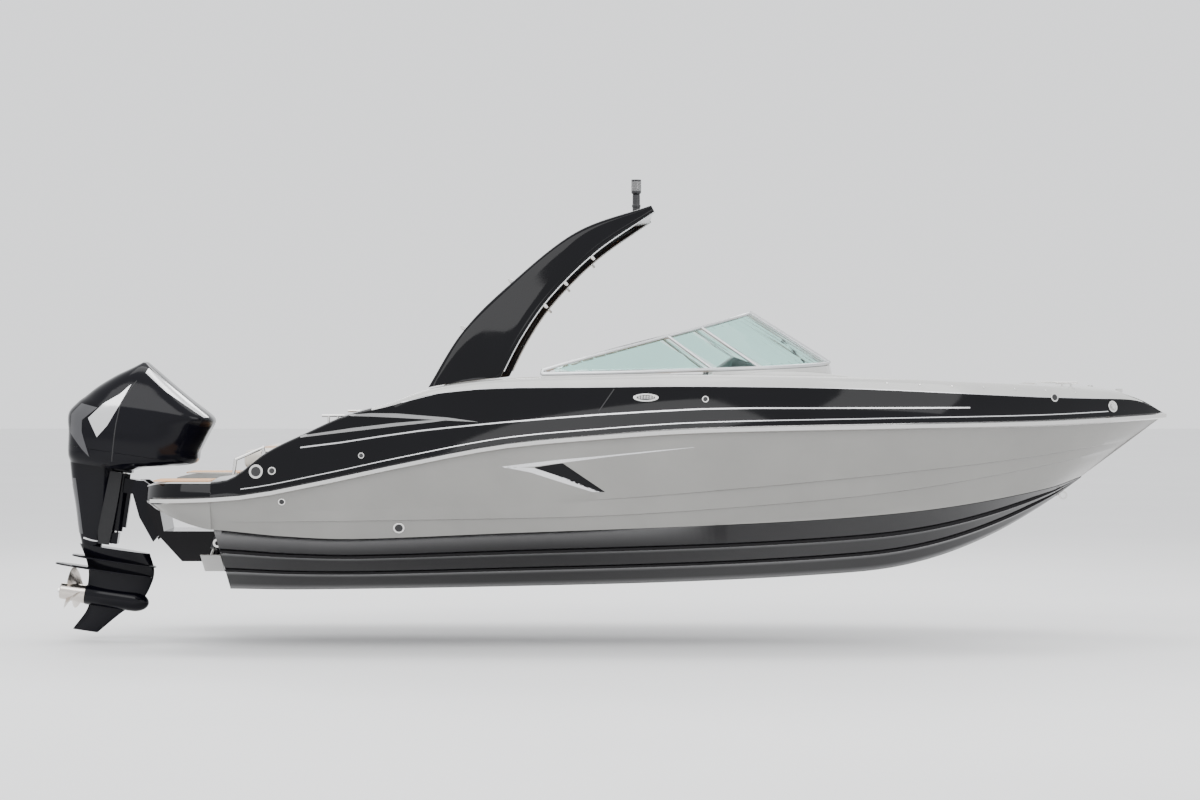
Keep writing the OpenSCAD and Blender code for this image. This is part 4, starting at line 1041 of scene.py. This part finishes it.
def make_propeller():
    profile = [(-0.446, 0.050), (-0.440, 0.056), (-0.36, 0.060), (-0.2703, 0.066)]
    lofted("prop_hub", "propeller", turned(profile, 64), [PROP_STEEL], 40,
           replaces=["propeller"])
    nut = [(-0.462, 0.010), (-0.460, 0.018), (-0.446, 0.020)]
    lofted("prop_nut", "propeller", turned(nut, 6), [STEEL], 20)
    for number in range(3):
        turn = math.radians(120 * number)
        rings = []
        for i in range(29):
            g = i / 28
            r = lerp(0.040, 0.170, g)
            chord = 0.150 * math.sqrt(max(0.02, 1 - (1.7 * g - 0.75) ** 2))
            pitch = math.atan(0.430 / (2 * math.pi * r))
            ring = []
            for k in range(24):
                a = 2 * math.pi * k / 24
                c, th = 0.5 * chord * math.cos(a), 0.0042 * (1.3 - g) * math.sin(a) * (1 - 0.5 * abs(math.cos(a)))
                u = c * math.sin(pitch) + th * math.cos(pitch)
                swing = (c * math.cos(pitch) - th * math.sin(pitch)) / r
                ring.append(leg(-0.343 - 0.03 * g + u, r * math.sin(swing + turn),
                                SHAFT_W + r * math.cos(swing + turn)))
            rings.append(ring)
        lofted("prop_blade_%d" % number, "propeller", rings, [PROP_STEEL], 40)


# ---- Soft goods ----

def cushion(name, body, low, high, material, cap=0.014, voxel=0.008, replaces=(), lean=0.0, round_by=0.035,
            shape=None):
    """A padded piece: rounded, blown up by cloth pressure but held inside its box, then smoothed.

    lean tips its top aft.
    """
    bm = bmesh.new()
    if shape:
        shape(bm)
    else:
        block(bm, low, high)
    mesh = bpy.data.meshes.new(name)
    bm.to_mesh(mesh)
    bm.free()
    piece = bpy.data.objects.new(name, mesh)
    bpy.context.collection.objects.link(piece)
    add = piece.modifiers.new("round", "BEVEL")
    add.width = round_by
    add.segments = 5
    add.limit_method = "ANGLE"
    remesh = piece.modifiers.new("remesh", "REMESH")
    remesh.mode = "VOXEL"
    remesh.voxel_size = voxel
    bpy.context.view_layer.update()
    flat = bpy.data.meshes.new_from_object(piece.evaluated_get(bpy.context.evaluated_depsgraph_get()))
    piece.modifiers.clear()
    piece.data = flat
    before = [v.co.copy() for v in flat.vertices]
    cloth = piece.modifiers.new("cloth", "CLOTH")
    cloth.settings.use_pressure = True
    cloth.settings.uniform_pressure_force = 4
    cloth.settings.effector_weights.gravity = 0
    cloth.settings.quality = 4
    scene = bpy.context.scene
    for number in range(1, 21):
        scene.frame_set(number)
    blown = bpy.data.meshes.new_from_object(piece.evaluated_get(bpy.context.evaluated_depsgraph_get()))
    piece.modifiers.clear()
    for v, old in zip(blown.vertices, before):
        move = v.co - old
        if move.length > cap:
            move = move.normalized() * cap
        v.co = old + move
        v.co = Vector([min(max(v.co[k], low[k]), high[k]) for k in range(3)])
    piece.data = blown
    scene.frame_set(1)
    smooth = piece.modifiers.new("smooth", "SMOOTH")
    smooth.factor = 0.5
    smooth.iterations = 6
    if lean:
        for v in piece.data.vertices:
            v.co.x -= lean * (v.co.z - low[2])
    piece.data.materials.clear()
    piece.data.materials.append(material)
    for face in piece.data.polygons:
        face.use_smooth = True
    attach(piece, body)
    if replaces:
        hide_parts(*replaces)
    return piece


def make_seats():
    for name, side in (("helm_seat", -1), ("companion_seat", 1)):
        x, y, top = 0.67, side * 0.6688, 0.46
        cushion(name + "_base", name, (x - 0.245, y - 0.20, top - 0.135), (x + 0.268, y + 0.20, top), VINYL,
                replaces=[name])
        cushion(name + "_bolster", name, (x + 0.06, y - 0.20, top + 0.002), (x + 0.266, y + 0.20, top + 0.055), TAN,
                cap=0.01)
        cushion(name + "_back", name, (x - 0.285, y - 0.235, top - 0.10), (x - 0.180, y + 0.235, top + 0.385), VINYL,
                lean=0.14)
        for s in (-1, 1):
            tag = "%s_arm_%d" % (name, s)
            ya = y + s * 0.232
            cushion(tag, name, (x - 0.20, ya - 0.027, top - 0.05), (x + 0.11, ya + 0.027, top + 0.135), GREY_VINYL,
                    cap=0.008, round_by=0.02)
        bm = bmesh.new()
        disc(bm, (x, y, 0.318), (0, 0, 1), 0.11, 0.030, 0, 40)
        block(bm, (x - 0.2, y - 0.2, 0.325), (x + 0.22, y + 0.2, 0.337), 0)
        bevelled(name + "_pan", bm, name, [ALLOY], 0.003)


def make_benches():
    x0 = -1.216
    half = room_y(x0, 0.042) - 0.008
    for k, (a, b) in enumerate(((-half, -half / 3), (-half / 3, half / 3), (half / 3, half))):
        cushion("bench_seat_%d" % k, "boat", (x0 + 0.128, a + 0.002, 0.34), (x0 + 0.608, b - 0.002, 0.458), VINYL,
                replaces=["stern_bench"] if k == 0 else ())
        cushion("bench_back_%d" % k, "boat", (x0 + 0.004, a + 0.002, 0.44), (x0 + 0.120, b - 0.002, 0.716), VINYL)
    bm = bmesh.new()
    block(bm, (x0 + 0.14, -half, 0.0605), (x0 + 0.58, half, 0.338))
    block(bm, (x0 + 0.004, -half, 0.0605), (x0 + 0.120, half, 0.438))
    bevelled("bench_base", bm, "boat", [LINER], 0.012)
    low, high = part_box("sun_pad")
    third = (high[1] - low[1]) / 3
    for k in range(3):
        cushion("sun_pad_%d" % k, "boat", (low[0], low[1] + third * k + 0.002, low[2]),
                (high[0], low[1] + third * (k + 1) - 0.002, high[2]), TAN if k == 1 else VINYL,
                replaces=["sun_pad"] if k == 0 else ())


def make_bow():
    for side, tag in SIDES:
        def shape(bm, side=side):
            outline = [(lerp(2.47, 3.485, i / 14), side * (room_y(lerp(2.47, 3.485, i / 14), 0.5) - 0.012))
                       for i in range(15)]
            outline += [(3.485, side * 0.01), (3.262, side * 0.01), (3.262, side * 0.30), (2.47, side * 0.30)]
            low_ring = [bm.verts.new((x, y, 0.503)) for x, y in outline]
            high_ring = [bm.verts.new((x, y, 0.592)) for x, y in outline]
            bm.faces.new(low_ring)
            bm.faces.new(high_ring)
            for i in range(len(outline)):
                j = (i + 1) % len(outline)
                bm.faces.new((low_ring[i], low_ring[j], high_ring[j], high_ring[i]))
            bmesh.ops.recalc_face_normals(bm, faces=bm.faces)
        edge = room_y(2.46, 0.5)
        y0, y1 = sorted((side * 0.004, side * (edge - 0.006)))
        cushion("bow_cushion_" + tag, "boat", (2.465, y0, 0.5005), (3.494, y1, 0.6), VINYL, cap=0.01,
                replaces=["bow_cushions"] if side < 0 else (), shape=shape, round_by=0.02)
        y0, y1 = sorted((side * 0.298, side * (edge - 0.012)))
        cushion("bow_back_" + tag, "boat", (2.34, y0, 0.5), (2.455, y1, 0.898), VINYL)


# ---- Centre window, mast lens, gauges and wiper ----

# Radius of the window's bars, and its head's half width as a share of its foot's
WINDOW_BAR = 0.013
WINDOW_TAPER = 0.7776


def make_center_window():
    """Rails and a pane in place of the CAD window, hinged on the port frame."""
    low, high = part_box("center_window")
    r = WINDOW_BAR
    foot = Vector((high[0] - r, high[1] - r, low[2] + r))
    head = Vector((low[0] + r, (high[1] - r) * WINDOW_TAPER, high[2] - r))
    flip = Vector((1, -1, 1))
    corners = [foot, head, head * flip, foot * flip]
    bars = [ring_mesh("window_rail", tube([a.lerp(b, k / 6) for k in range(7)], r - 0.0005, 16))
            for a, b in zip(corners, corners[1:] + corners[:1])]
    points, faces = [], []
    for made in bars:
        base = len(points)
        points += [v.co.copy() for v in made.vertices]
        faces += [[base + i for i in f.vertices] for f in made.polygons]
    frame_mesh = mesh_of("window_rails", points, faces)
    finish_mesh("window_rails", "center_window", outward(frame_mesh), [ALLOY], 40,
                replaces=["center_window"])
    lean = (head - foot).normalized().cross(Vector((0, 1, 0))).normalized() * 0.003
    pane = bmesh.new()
    front = [pane.verts.new(c + lean) for c in corners]
    back = [pane.verts.new(c - lean) for c in corners]
    pane.faces.new(front)
    pane.faces.new(back[::-1])
    for k in range(4):
        n = (k + 1) % 4
        pane.faces.new([front[k], back[k], back[n], front[n]])
    bevelled("window_pane", pane, "center_window", [GLASS], 0.001)
    latch = bmesh.new()
    grip = (foot * flip).lerp(head * flip, 0.55)
    disc(latch, grip + Vector((-0.014, 0.02, 0)), (-0.9, 0, 0.4), 0.014, 0.010, 0, 24)
    block(latch, grip + Vector((-0.030, 0.012, -0.006)), grip + Vector((-0.018, 0.060, 0.006)))
    bevelled("window_latch", latch, "center_window", [STEEL], 0.002)


def make_details():
    bm = bmesh.new()
    disc(bm, (0.80, 0, 2.20), (0, 0, 1), 0.030, 0.02, 0)
    low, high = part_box("arch_light")
    disc(bm, ((low[0] + high[0]) / 2, 0, high[2] - 0.045), (0, 0, 1), 0.0345, 0.07, 1, 40)
    bevelled("arch_lens", bm, "boat", [PLASTIC, LENS], 0.004)
    gauge = bmesh.new()
    for k in range(4):
        y = -0.52 - 0.10 * k
        disc(gauge, (1.30 + 0.03, y, 1.0), (-0.8, 0, 0.6), 0.038, 0.02, 0, 32)
        disc(gauge, (1.30 + 0.022, y, 1.006), (-0.8, 0, 0.6), 0.030, 0.02, 1, 32)
    bevelled("gauges", gauge, "boat", [STEEL, PLASTIC], 0.001)
    bar("wiper_arm", [(1.93, -0.50, 1.118), (1.86, -0.47, 1.19), (1.78, -0.43, 1.27)], 0.005, "boat",
        RUBBER)


def main():
    make_stage()
    paint_nodes()
    hull = make_hull()
    deck = make_deck()
    skin = Skin(hull, deck)
    dress_sides(skin)
    dress_fittings(skin)
    make_platform()
    make_arch()
    make_cowls()
    make_leg()
    make_propeller()
    make_seats()
    make_benches()
    make_bow()
    make_center_window()
    make_details()


main()
